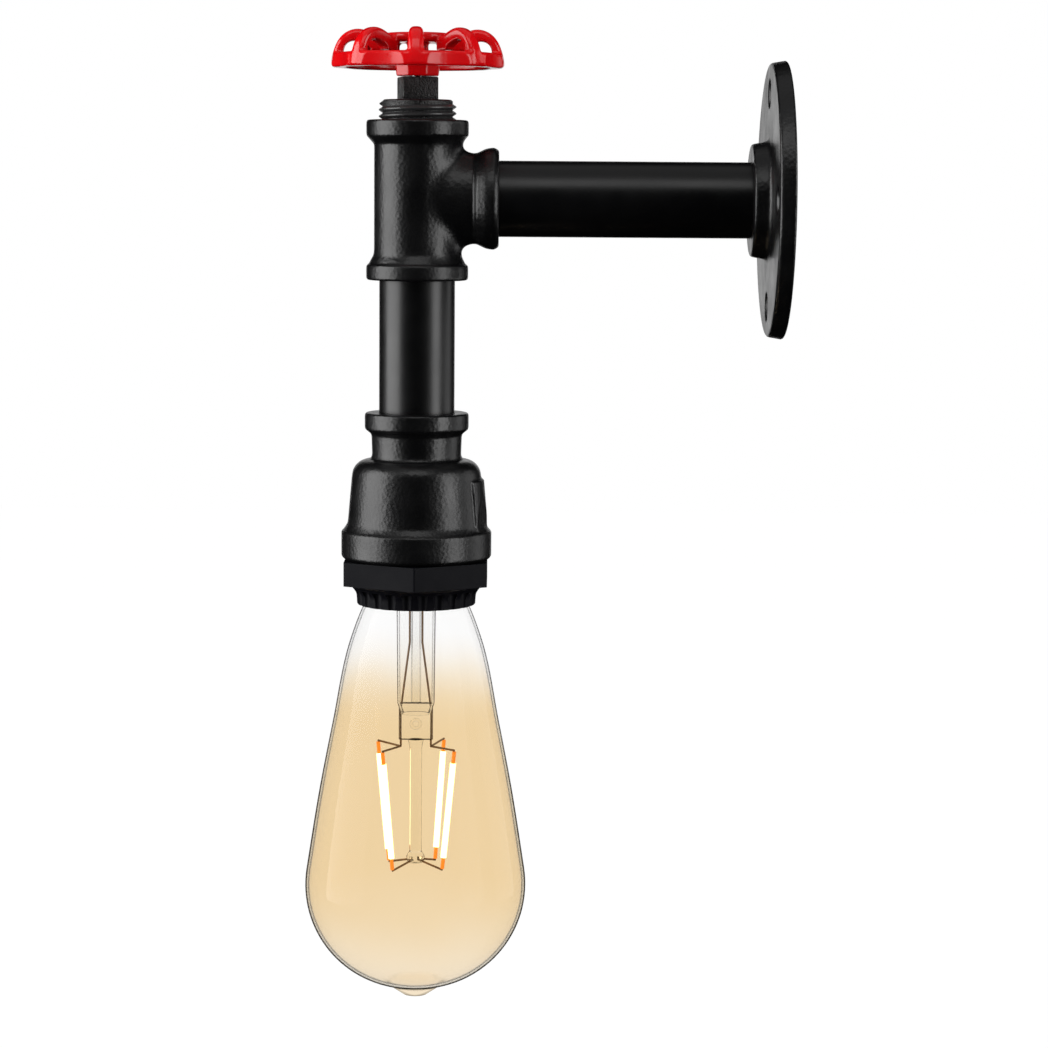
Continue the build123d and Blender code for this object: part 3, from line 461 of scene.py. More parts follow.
@dataclass(frozen=True)
class Glow(Finish):
    """A surface that shines by itself, in one colour towards the eye and another where it turns away."""

    colour: str
    rim: str
    strength: float
    grain_mm: float = 0.8
    drift: float = 0.2  # share by which the strength comes and goes with the grain
    rim_start: float = 0.25  # share of facing away from the eye at which the rim's colour starts
    rim_full: float = 0.85
    roughness: float = 0.5

    def shade(self, tree: bpy.types.NodeTree, place: bpy.types.NodeSocket) -> bpy.types.NodeSocket:
        """Adds the nodes of the glow.

        Args:
            tree: The material's node tree.
            place: Object coordinates, in metres.

        Returns:
            The shader's output socket.
        """
        grain = add(
            tree,
            "ShaderNodeTexNoise",
            {"Vector": place, "Scale": 1 / (self.grain_mm * MM), "Detail": 1.0},
        )
        power = add(
            tree,
            "ShaderNodeMapRange",
            {
                "Value": grain.outputs["Fac"],
                "To Min": self.strength * (1 - self.drift),
                "To Max": self.strength * (1 + self.drift),
            },
        )
        facing = add(tree, "ShaderNodeLayerWeight", {"Blend": 0.5}).outputs["Facing"]
        turned = add(
            tree,
            "ShaderNodeMapRange",
            {"Value": facing, "From Min": self.rim_start, "From Max": self.rim_full},
        )
        warmth = add(
            tree,
            "ShaderNodeMix",
            {"Factor": turned.outputs["Result"], "A": linear(self.colour), "B": linear(self.rim)},
            data_type="RGBA",
        )
        values = {
            "Base Color": linear(self.colour),
            "Roughness": self.roughness,
            "Emission Color": warmth.outputs["Result"],
            "Emission Strength": power.outputs["Result"],
        }
        return add(tree, "ShaderNodeBsdfPrincipled", values).outputs["BSDF"]


# Satin black paint over sand-cast iron: a dim, broad sheen broken up by the casting's grain.
CAST_BLACK = CastSkin("satin_paint_on_cast_iron", "#030304", "#070708", roughness=0.34, grain_mm=0.7)
# The same paint on drawn tube: smoother, so the sheen runs in clean bands.
TUBE_BLACK = Coating(
    "satin_paint_on_drawn_tube", "#020203", "#040405", roughness=0.33, spread=0.03, depth_mm=0.004
)
# Matt black on the coarse skin of a small casting: it glitters in specks and has hardly any sheen.
PLUG_BLACK = CastSkin(
    "matt_paint_on_rough_casting",
    "#040405",
    "#0A0A0B",
    roughness=0.33,
    spread=0.1,
    grain_mm=0.35,
    depth_mm=0.16,
    crumb_mm=0.5,
    crumb_depth_mm=0.16,
)
# The same paint scraped thin on the cut crests of the thread, where the iron shines through.
THREAD_BLACK = CastSkin(
    "worn_paint_on_cut_thread",
    "#1A1A1B",
    "#3A3A3A",
    roughness=0.28,
    spread=0.08,
    grain_mm=0.4,
    depth_mm=0.03,
    crumb_mm=0.7,
)
# Stove enamel over a cast wheel: a deep red under a hard clear gloss.
ENAMEL_RED = Coating(
    "red_stove_enamel",
    "#E00309",
    "#B8020A",
    roughness=0.2,
    grain_mm=1.4,
    settings=(("Specular IOR Level", 0.34), ("Coat Weight", 0.2), ("Coat Roughness", 0.05)),
)
# Moulded black thermoset with a spark-eroded skin, drawn coarser than it is: low sheen, a trace of blue.
MOULDED_BLACK = Coating(
    "moulded_black_phenolic",
    "#06060B",
    "#0A0A10",
    roughness=0.55,
    grain_mm=0.5,
    depth_mm=0.014,
    settings=(("Specular IOR Level", 0.09),),
)
# Pressed and fired steatite: a matt, chalky cream.
STEATITE = Coating("pressed_steatite", "#DDD5C2", "#CFC6B2", roughness=0.6, spread=0.08, grain_mm=0.8)
# Steel turned or stamped, then zinc-plated: a pale grey with a soft gloss.
ZINC = Metal("zinc_plated_steel", "#B9BBBD", roughness=0.32)
# Drawn and nickelled brass sheet: a warm silver, its marks running up the wall.
NICKEL = Metal(
    "nickelled_brass_sheet", "#C6C2B8", roughness=0.22, mark_mm=(0.3, 0.3, 3.0), depth_mm=0.004
)
# Stamped brass: yellow, a little dulled by the marks of the die.
BRASS = Metal("stamped_brass", "#C9A557", roughness=0.28)
# Copper dipped in tin: a white metal with a soft gloss.
TINNED = Metal("tinned_copper", "#C8C8C6", roughness=0.3)
# Drawn wire browned by the heat of sealing: dark and dull.
WIRE = Metal("drawn_support_wire", "#6E5A48", roughness=0.35)
# Solder that froze as a drop: grey, with wide shallow dimples.
SOLDER = Metal("solder", "#B4B4B0", roughness=0.38, mark_mm=(1.2, 1.2, 1.2), depth_mm=0.03)
# Extruded plastic over the leads: smooth, even colours with a low gloss.
SLEEVING = {"roughness": 0.4, "spread": 0.04, "grain_mm": 0.8, "depth_mm": 0.005}
PVC_BROWN = Coating("brown_sleeving", "#4A2A1A", "#53301E", **SLEEVING)
PVC_BLUE = Coating("blue_sleeving", "#1C3F86", "#22479A", **SLEEVING)
PVC_GREEN = Coating("green_sleeving", "#2E7D2A", "#358833", **SLEEVING)
# Pressed black glass: opaque, and close to a mirror.
BLACK_GLASS = Coating(
    "black_glass_insulator", "#0A0A0F", "#101018", roughness=0.12, spread=0.02, grain_mm=1.0, depth_mm=0.004
)
# Lacquer flowed over a circuit board: a deep green, glossy and a little uneven.
BOARD = Coating("circuit_board_lacquer", "#0F4A24", "#14552C", roughness=0.35, grain_mm=1.2)
# Plastic sleeve shrunk over a capacitor: nearly black, taut and glossy.
SLEEVE = Coating(
    "shrunk_sleeve", "#14141C", "#1A1A24", roughness=0.25, spread=0.03, grain_mm=1.0, depth_mm=0.004
)
# Blown glass with an amber film that stops short of the neck, and painted dark shade where it is seen edge
# on.
AMBER = Glass(
    "amber_film_on_blown_glass",
    tint="#F6E7CC",
    edge="#0C0705",
    ior=1.22,
    clear_above=-0.119,
    tinted_below=-0.142,
    edge_shade_start=0.8,
    edge_shade_full=0.87,
    thin_from=-0.19,
    thin_at=-0.216,
    thinned=0.6,
    body_fades=(-0.2262, -0.2245),
)
# Drawn clear tube and rod: colourless, with painted dark lines of shade where it is seen edge on.
CLEAR = Glass(
    "clear_stem_glass",
    tint="#F6F4EE",
    edge="#140D08",
    ior=1.3,
    clear_above=-0.1,
    tinted_below=-0.2,
    edge_shade_start=0.6,
    edge_shade_full=0.82,
)
# Phosphor over rows of chips: white hot to the eye, yellow where it thins out.
PHOSPHOR = Glow("lit_phosphor", "#FFF6D8", "#FFC860", strength=3.0)
# Metal end of a filament, given a dim orange painted glow that stands in for the light its phosphor casts on
# it.
LIT_END_GLOW = Glow("filament_end_painted_glow", "#C8741E", "#7A3A10", strength=0.8)


# ---- mesh helpers -------------------------------------------------------------------------------


def link_mesh(name: str, bm: bmesh.types.BMesh) -> bpy.types.Object:
    """Makes a mesh object and puts it in the scene.

    Args:
        name: Name of the object and of its mesh.
        bm: Its shape, in place. It is freed.

    Returns:
        The new object.
    """
    mesh = bpy.data.meshes.new(name)
    bm.to_mesh(mesh)
    bm.free()
    made = bpy.data.objects.new(name, mesh)
    bpy.context.scene.collection.objects.link(made)
    return made


def mesh_piece(
    name: str,
    bm: bmesh.types.BMesh,
    body: Body,
    finish: Finish,
    replaced: tuple[str, ...] = (),
    crisp: bool = True,
) -> bpy.types.Object:
    """Turns a bmesh into a finished piece of the object.

    Args:
        name: The piece's name.
        bm: Its shape, in place. It is freed.
        body: The body that it rides on.
        finish: Its finish.
        replaced: CAD nodes that it stands for.
        crisp: Whether faces that meet at a steep angle keep a crisp edge.

    Returns:
        The new object.
    """
    bmesh.ops.remove_doubles(bm, verts=bm.verts, dist=MERGE)
    bmesh.ops.recalc_face_normals(bm, faces=bm.faces)
    for face in bm.faces:
        face.smooth = True
    for edge in bm.edges:
        edge.smooth = not crisp or edge.calc_face_angle(0.0) < SHARP_EDGE
    piece = link_mesh(name, bm)
    piece.data.materials.append(finish.material())
    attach(piece, body.value)
    if replaced:
        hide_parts(*replaced)
    log.info("%s: %d faces on %s", name, len(piece.data.polygons), body.value)
    return piece


def dress(finish: Finish, *nodes: str) -> None:
    """Gives CAD nodes a finish.

    Args:
        finish: The finish.
        *nodes: Names of the nodes.
    """
    for node in nodes:
        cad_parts[node].material_slots[0].material = finish.material()
        log.info("%s: dressed as %s", node, finish.name)


def close_holes(bm: bmesh.types.BMesh) -> None:
    """Caps any open end."""
    rim = [edge for edge in bm.edges if edge.is_boundary]
    bmesh.ops.holes_fill(bm, edges=rim, sides=0)


def lathe(bm: bmesh.types.BMesh, corners: list[tuple[float, float]], steps: int = 96) -> None:
    """Spins a closed outline round the Z axis.

    Args:
        bm: Mesh that gets the shape.
        corners: (radius, height) of each corner, in metres. Corners at radius 0 lie on the axis.
        steps: Number of steps in a turn.
    """
    verts = [bm.verts.new((radius, 0, height)) for radius, height in corners]
    pairs = zip(verts, verts[1:] + verts[:1])
    off_axis = [(a, b) for a, b in pairs if a.co.x > 0 or b.co.x > 0]
    edges = [bm.edges.new(pair) for pair in off_axis]
    bmesh.ops.spin(
        bm, geom=verts + edges, cent=(0, 0, 0), axis=(0, 0, 1), angle=2 * pi, steps=steps, use_merge=True
    )
    bmesh.ops.remove_doubles(bm, verts=bm.verts, dist=MERGE)


def helix(
    bm: bmesh.types.BMesh, profile: list[tuple[float, float]], pitch: float, turns: float, steps: int = 72
) -> None:
    """Sweeps a closed profile along a right-handed helix round the Z axis.

    Args:
        bm: Mesh that gets the ridge.
        profile: (radius, height) of each corner at the start.
        pitch: Rise in one turn.
        turns: Number of turns.
        steps: Number of steps in a turn.
    """
    verts = [bm.verts.new((radius, 0, height)) for radius, height in profile]
    face = bm.faces.new(verts)
    bmesh.ops.spin(
        bm,
        geom=verts + list(face.edges) + [face],
        cent=(0, 0, 0),
        axis=(0, 0, 1),
        dvec=(0, 0, pitch / steps),
        angle=2 * pi * turns,
        steps=round(turns * steps),
        use_merge=False,
    )
    close_holes(bm)


def move(bm: bmesh.types.BMesh, by: Vector) -> None:
    """Moves everything in the mesh."""
    bmesh.ops.translate(bm, verts=bm.verts, vec=by)


def smooth(bm: bmesh.types.BMesh, verts: list[bmesh.types.BMVert], rounds: int) -> None:
    """Smooths a part of a mesh.

    Args:
        bm: The mesh.
        verts: Vertices that move.
        rounds: How often they move.
    """
    for _ in range(rounds):
        bmesh.ops.smooth_vert(
            bm, verts=verts, factor=SMOOTHING, use_axis_x=True, use_axis_y=True, use_axis_z=True
        )


def softened(node: str, voxel: float, rounds: int) -> bmesh.types.BMesh:
    """Copies a CAD node and softens its edges as a casting's are.

    Args:
        node: The node.
        voxel: Size of the even mesh that the copy gets.
        rounds: How often the mesh is smoothed.

    Returns:
        The softened copy.
    """
    bm = bmesh.new()
    bm.from_mesh(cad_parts[node].data)
    bmesh.ops.remove_doubles(bm, verts=bm.verts, dist=CAD_MERGE)
    copy = link_mesh(node + "_copy", bm)
    remesh = copy.modifiers.new("even", "REMESH")
    remesh.mode = "VOXEL"
    remesh.voxel_size = voxel
    depsgraph = bpy.context.evaluated_depsgraph_get()
    even = bpy.data.meshes.new_from_object(copy.evaluated_get(depsgraph))
    soft = bmesh.new()
    soft.from_mesh(even)
    smooth(soft, soft.verts[:], rounds)
    uneven = copy.data
    bpy.data.objects.remove(copy)
    bpy.data.meshes.remove(uneven)
    bpy.data.meshes.remove(even)
    return soft


def axis_of(node: str) -> Vector:
    """Returns the middle of a node's box, at height zero."""
    low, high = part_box(node)
    return Vector(((low.x + high.x) / 2, (low.y + high.y) / 2, 0))


LAMP_AXIS = axis_of("drop_pipe")


# ---- sub-assemblies -----------------------------------------------------------------------------


@dataclass
class Pipework:
    """The cast fittings and the two pipes.

    The tee's wide blend lies between two distances from the run's axis, measured towards the arm.
    """

    voxel: float = 0.36 * MM
    rounds: dict[str, int] = field(
        default_factory=lambda: {"tee": 4, "reducing_socket": 4, "wall_flange": 3}
    )
    blend_rounds: int = 90
    blend_from: float = 3.5 * MM
    blend_to: float = 15.5 * MM
    blend_half_height: float = 17.5 * MM
    bore_clear: float = 11.2 * MM  # radius round the arm's axis within which the tee keeps its bore

    def blend_junction(self, tee: bmesh.types.BMesh) -> None:
        """Melts the tee's branch into its run, as the wide fillets of its casting pattern do.

        Args:
            tee: The softened tee, which is changed.
        """
        arm_height = (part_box("arm_pipe")[0].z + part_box("arm_pipe")[1].z) / 2
        near = [
            vert
            for vert in tee.verts
            if self.blend_from < vert.co.x - LAMP_AXIS.x < self.blend_to
            and abs(vert.co.z - arm_height) < self.blend_half_height
            and (vert.co.y**2 + (vert.co.z - arm_height) ** 2) ** 0.5 > self.bore_clear
        ]
        smooth(tee, near, self.blend_rounds)

    def build(self) -> None:
        """Builds the painted castings and dresses the pipes."""
        for casting, rounds in self.rounds.items():
            soft = softened(casting, self.voxel, rounds)
            if casting == "tee":
                self.blend_junction(soft)
            mesh_piece(
                "painted_" + casting, soft, Body.FITTING, CAST_BLACK, (casting,), crisp=False
            )
        dress(TUBE_BLACK, "arm_pipe", "drop_pipe")


@dataclass
class Plug:
    """Square-head plug with its cut thread."""

    pitch: float = 1.814 * MM
    root_radius: float = 9.85 * MM
    crest_radius: float = 10.85 * MM
    crest_half_flat: float = 0.16 * MM
    foot: float = 0.92  # share of half a pitch at which the ridge's flank meets the root
    ridge_sunk: float = 0.3 * MM
    thread_top: float = 27.2 * MM
    lead_in: float = 0.4 * MM
    lead_in_height: float = 0.8 * MM
    rim_chamfer: float = 0.5 * MM
    rim_chamfer_height: float = 0.4 * MM
    head_side: float = 10.1 * MM
    head_turn: float = radians(11)
    head_bottom: float = 27.4 * MM
    head_sunk: float = 1.0 * MM
    head_bevel: float = 0.45 * MM

    def build_thread(self) -> None:
        """Builds the helical ridge, from inside the tee's mouth to the top."""
        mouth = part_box("tee")[1].z
        base = mouth - self.pitch
        inside = self.root_radius - self.ridge_sunk
        half = self.pitch / 2
        profile = [
            (inside, base - half),
            (self.root_radius, base - half * self.foot),
            (self.crest_radius, base - self.crest_half_flat),
            (self.crest_radius, base + self.crest_half_flat),
            (self.root_radius, base + half * self.foot),
            (inside, base + half),
        ]
        turns = (self.thread_top - half - base) / self.pitch
        bm = bmesh.new()
        helix(bm, profile, self.pitch, turns)
        move(bm, LAMP_AXIS)
        mesh_piece("plug_thread", bm, Body.FITTING, THREAD_BLACK)

    def build_body(self) -> None:
        """Builds the plug's round body and its square head."""
        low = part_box("square_head_plug")[0].z
        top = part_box("square_head_plug")[1].z
        bm = bmesh.new()
        lathe(
            bm,
            [
                (0, low),
                (self.root_radius - self.lead_in, low),
                (self.root_radius, low + self.lead_in_height),
                (self.root_radius, self.head_bottom - self.rim_chamfer_height),
                (self.root_radius - self.rim_chamfer, self.head_bottom),
                (0, self.head_bottom),
            ],
        )
        head = bmesh.ops.create_cube(bm, size=1.0)["verts"]
        tall = top - self.head_bottom + self.head_sunk
        bmesh.ops.scale(bm, verts=head, vec=(self.head_side, self.head_side, tall))
        edges = {edge for vert in head for edge in vert.link_edges}
        bevelled = bmesh.ops.bevel(
            bm,
            geom=list(edges),
            offset=self.head_bevel,
            segments=3,
            profile=0.5,
            affect="EDGES",
            material=-1,
        )
        corners = list({vert for face in bevelled["faces"] for vert in face.verts})
        bmesh.ops.transform(bm, matrix=Matrix.Rotation(self.head_turn, 4, "Z"), verts=corners)
        bmesh.ops.translate(bm, verts=corners, vec=(0, 0, top - tall / 2))
        move(bm, LAMP_AXIS)
        mesh_piece("plug_body", bm, Body.FITTING, PLUG_BLACK, ("square_head_plug",))

    def build(self) -> None:
        """Builds the plug."""
        self.build_body()
        self.build_thread()


@dataclass
class Handwheel:
    """The red cast wheel, its fillets run soft by the enamel."""

    voxel: float = 0.3 * MM
    rounds: int = 8

    def build(self) -> None:
        """Builds the enamelled wheel and dresses its screw."""
        soft = softened("handwheel", self.voxel, self.rounds)
        mesh_piece(
            "enamelled_wheel", soft, Body.WHEEL, ENAMEL_RED, ("handwheel",), crisp=False
        )
        dress(ZINC, "wheel_screw")


@dataclass
class Holder:
    """The moulded lamp holder and what is inside it."""

    def build(self) -> None:
        """Dresses the holder's pieces."""
        dress(MOULDED_BLACK, "holder_body")
        dress(STEATITE, "holder_core")
        dress(NICKEL, "screw_shell")
        dress(BRASS, "shell_rivets", "centre_contact", "side_contact", "earth_screw")
        dress(ZINC, "terminal_screws")
        dress(TINNED, "earth_tag", "lead_ferrules")
        dress(PVC_BROWN, "live_lead")
        dress(PVC_BLUE, "neutral_lead")
        dress(PVC_GREEN, "earth_lead")


@dataclass
class Envelope:
    """The lamp's blown glass: neck, swelling side, round bowl and sealed tip."""

    neck_radius: float = 12.3 * MM
    neck_top: float = -105.0 * MM
    neck_bottom: float = -110.2 * MM
    neck_slope: float = 0.12  # how fast the radius grows where the side leaves the neck
    side: tuple[tuple[float, float], ...] = (
        (14.8 * MM, -114.8 * MM),
        (18.4 * MM, -124.0 * MM),
        (23.9 * MM, -149.5 * MM),
        (27.5 * MM, -168.1 * MM),
    )
    side_points: int = 10  # points on the line from one place of the side to the next
    radius: float = 31.65 * MM
    widest: float = -196.2 * MM  # height of the widest place
    bowl_radius: float = 29.7 * MM
    bowl_start: float = radians(9)  # angle above the widest place at which the side runs into the bowl
    bowl_steps: int = 28
    tip_radius: float = 8.6 * MM
    tip: tuple[tuple[float, float], ...] = (
        (7.2 * MM, -226.0 * MM),
        (3.4 * MM, -228.6 * MM),
        (0, -229.2 * MM),
    )
    wall: float = 0.7 * MM
    steps: int = 160

    def side_line(self, inset: float) -> list[Vector]:
        """Runs a smooth line down the side, from the neck to the start of the bowl.

        Args:
            inset: How far the line lies inside the outer face.

        Returns:
            Points with the radius as X and the height as Z.
        """
        centre = self.radius - self.bowl_radius
        end = (
            centre + self.bowl_radius * cos(self.bowl_start),
            self.widest + self.bowl_radius * sin(self.bowl_start),
        )
        corners = ((self.neck_radius, self.neck_bottom), *self.side, end)
        knots = [Vector((radius - inset, 0, height)) for radius, height in corners]
        chords = [after - before for before, after in zip(knots, knots[1:])]
        ways = [Vector((self.neck_slope, 0, -1)).normalized()]
        for before, after in zip(chords, chords[1:]):
            way = before.normalized() * after.length + after.normalized() * before.length
            ways.append(way.normalized())
        ways.append(Vector((sin(self.bowl_start), 0, -cos(self.bowl_start))))
        line = [knots[0]]
        for place, chord in enumerate(chords):
            pull = chord.length / 3  # handles of a third of the chord make an even curve
            start, stop = knots[place], knots[place + 1]
            leave, arrive = start + ways[place] * pull, stop - ways[place + 1] * pull
            line += interpolate_bezier(start, leave, arrive, stop, self.side_points)[1:]
        return line

    def bowl_line(self, inset: float, last: float) -> list[Vector]:
        """Runs round the bowl, from the end of the side to a radius near the axis.

        Args:
            inset: How far the line lies inside the outer face.
            last: Radius at which the line ends.

        Returns:
            Points with the radius as X and the height as Z.
        """
        centre = self.radius - self.bowl_radius
        reach = self.bowl_radius - inset
        end = -acos((last - centre) / reach)
        line = []
        for step in range(1, self.bowl_steps + 1):
            angle = self.bowl_start + (end - self.bowl_start) * step / self.bowl_steps
            line.append(Vector((centre + reach * cos(angle), 0, self.widest + reach * sin(angle))))
        return line

    def build(self) -> None:
        """Builds the envelope as one closed wall."""
        outer = [Vector((self.neck_radius, 0, self.neck_top))]
        outer += self.side_line(0) + self.bowl_line(0, self.tip_radius)
        outer += [Vector((radius, 0, height)) for radius, height in self.tip]
        inner = [Vector((self.neck_radius - self.wall, 0, self.neck_top))]
        inner += self.side_line(self.wall) + self.bowl_line(self.wall, self.radius - self.bowl_radius)
        floor = inner[-1].z
        corners = [(point.x, point.z) for point in outer] + [(0, floor)]
        corners += [(point.x, point.z) for point in reversed(inner)]
        bm = bmesh.new()
        lathe(bm, corners, self.steps)
        move(bm, LAMP_AXIS)
        mesh_piece("glass_envelope", bm, Body.LAMP, AMBER, ("bulb_glass",), crisp=False)


@dataclass
class Cap:
    """The lamp's drawn metal cap, with its plain collar and its rounded rolled thread."""

    collar_radius: float = 13.05 * MM
    root_radius: float = 12.3 * MM
    crown_radius: float = 10.2 * MM
    wall: float = 0.35 * MM
    bottom: float = -110.8 * MM
    collar_top: float = -105.2 * MM
    root_start: float = -104.6 * MM
    shoulder: float = -94.0 * MM
    crown: float = -91.5 * MM
    pitch: float = 3.6 * MM
    ridge_start: float = -103.1 * MM
    ridge_end: float = -95.8 * MM
    ridge_half_width: float = 1.6 * MM
    ridge_sunk: float = 0.1 * MM
    ridge_corners: int = 9

    def build(self) -> None:
        """Builds the cap's shell with its thread."""
        bm = bmesh.new()
        outer = [
            (self.collar_radius, self.bottom),
            (self.collar_radius, self.collar_top),
            (self.root_radius, self.root_start),
            (self.root_radius, self.shoulder),
            (self.crown_radius, self.crown),
        ]
        inner = [
            (radius - self.wall, height - self.wall if height > self.shoulder else height)
            for radius, height in outer
        ]
        lathe(bm, outer + inner[::-1])
        crest = self.collar_radius - self.root_radius
        profile = []
        for corner in range(self.ridge_corners):
            across = 2 * corner / (self.ridge_corners - 1) - 1
            radius = self.root_radius - self.ridge_sunk + crest * cos(across * pi / 2)
            profile.append((radius, self.ridge_start + across * self.ridge_half_width))
        helix(bm, profile, self.pitch, (self.ridge_end - self.ridge_start) / self.pitch)
        move(bm, LAMP_AXIS)
        mesh_piece("threaded_cap", bm, Body.LAMP, NICKEL, ("bulb_cap",))


@dataclass
class Lamp:
    """The filament lamp: envelope, cap, stem, wires and lit filaments."""

    envelope: Envelope = field(default_factory=Envelope)
    cap: Cap = field(default_factory=Cap)
    exhaust_radius: float = 1.4 * MM
    exhaust_wall: float = 0.35 * MM
    exhaust_top: float = -107.6 * MM
    exhaust_bottom: float = -143.4 * MM
    exhaust_steps: int = 48
    ring_height: float = -149.4 * MM
    ring_radius: float = 1.25 * MM
    ring_thickness: float = 0.45 * MM  # radius of the ring's own section
    ring_segments: int = 16
    ring_steps: int = 40
    press_front: float = 1.3 * MM

    def build_exhaust_tube(self) -> None:
        """Builds the thin tube in the stem, which the lamp was emptied through, and its hole's rim."""
        bm = bmesh.new()
        inside = self.exhaust_radius - self.exhaust_wall
        lathe(
            bm,
            [
                (inside, self.exhaust_bottom),
                (self.exhaust_radius, self.exhaust_bottom),
                (self.exhaust_radius, self.exhaust_top),
                (inside, self.exhaust_top),
            ],
            self.exhaust_steps,
        )
        move(bm, LAMP_AXIS)
        mesh_piece("exhaust_tube", bm, Body.LAMP, CLEAR)
        ring = bmesh.new()
        section = bmesh.ops.create_circle(ring, segments=self.ring_segments, radius=self.ring_thickness)
        bmesh.ops.translate(ring, verts=section["verts"], vec=(self.ring_radius, 0, 0))
        bmesh.ops.spin(
            ring,
            geom=ring.verts[:] + ring.edges[:],
            cent=(0, 0, 0),
            axis=(0, 1, 0),
            angle=2 * pi,
            steps=self.ring_steps,
            use_merge=True,
        )
        move(ring, LAMP_AXIS + Vector((0, -self.press_front, self.ring_height)))
        mesh_piece("exhaust_hole_rim", ring, Body.LAMP, CLEAR, crisp=False)

    def build(self) -> None:
        """Builds and dresses the lamp's pieces."""
        self.envelope.build()
        self.cap.build()
        self.build_exhaust_tube()
        dress(CLEAR, "glass_stem", "centre_rod")
        dress(BLACK_GLASS, "cap_insulator")
        dress(SOLDER, "cap_contact")
        dress(WIRE, "feed_wires", "upper_supports", "lower_supports")
        dress(PHOSPHOR, "filaments")
        # the filament ends glow with painted light, not by themselves
        dress(LIT_END_GLOW, "filament_tips")
        dress(BOARD, "driver_board")
        dress(SLEEVE, "driver_capacitor")


# ---- studio -------------------------------------------------------------------------------------


@dataclass(frozen=True)
class Softbox:
    """A rectangular soft light that faces the object."""

    name: str
    azimuth: float  # degrees round from the camera's side, to the right as the camera sees it
    elevation: float  # degrees above the horizon, past 90 where it hangs a little behind the object
    away: float  # distance from the object
    size: tuple[float, float]  # width and height
    radiance: float  # brightness of its face, where 1 is white


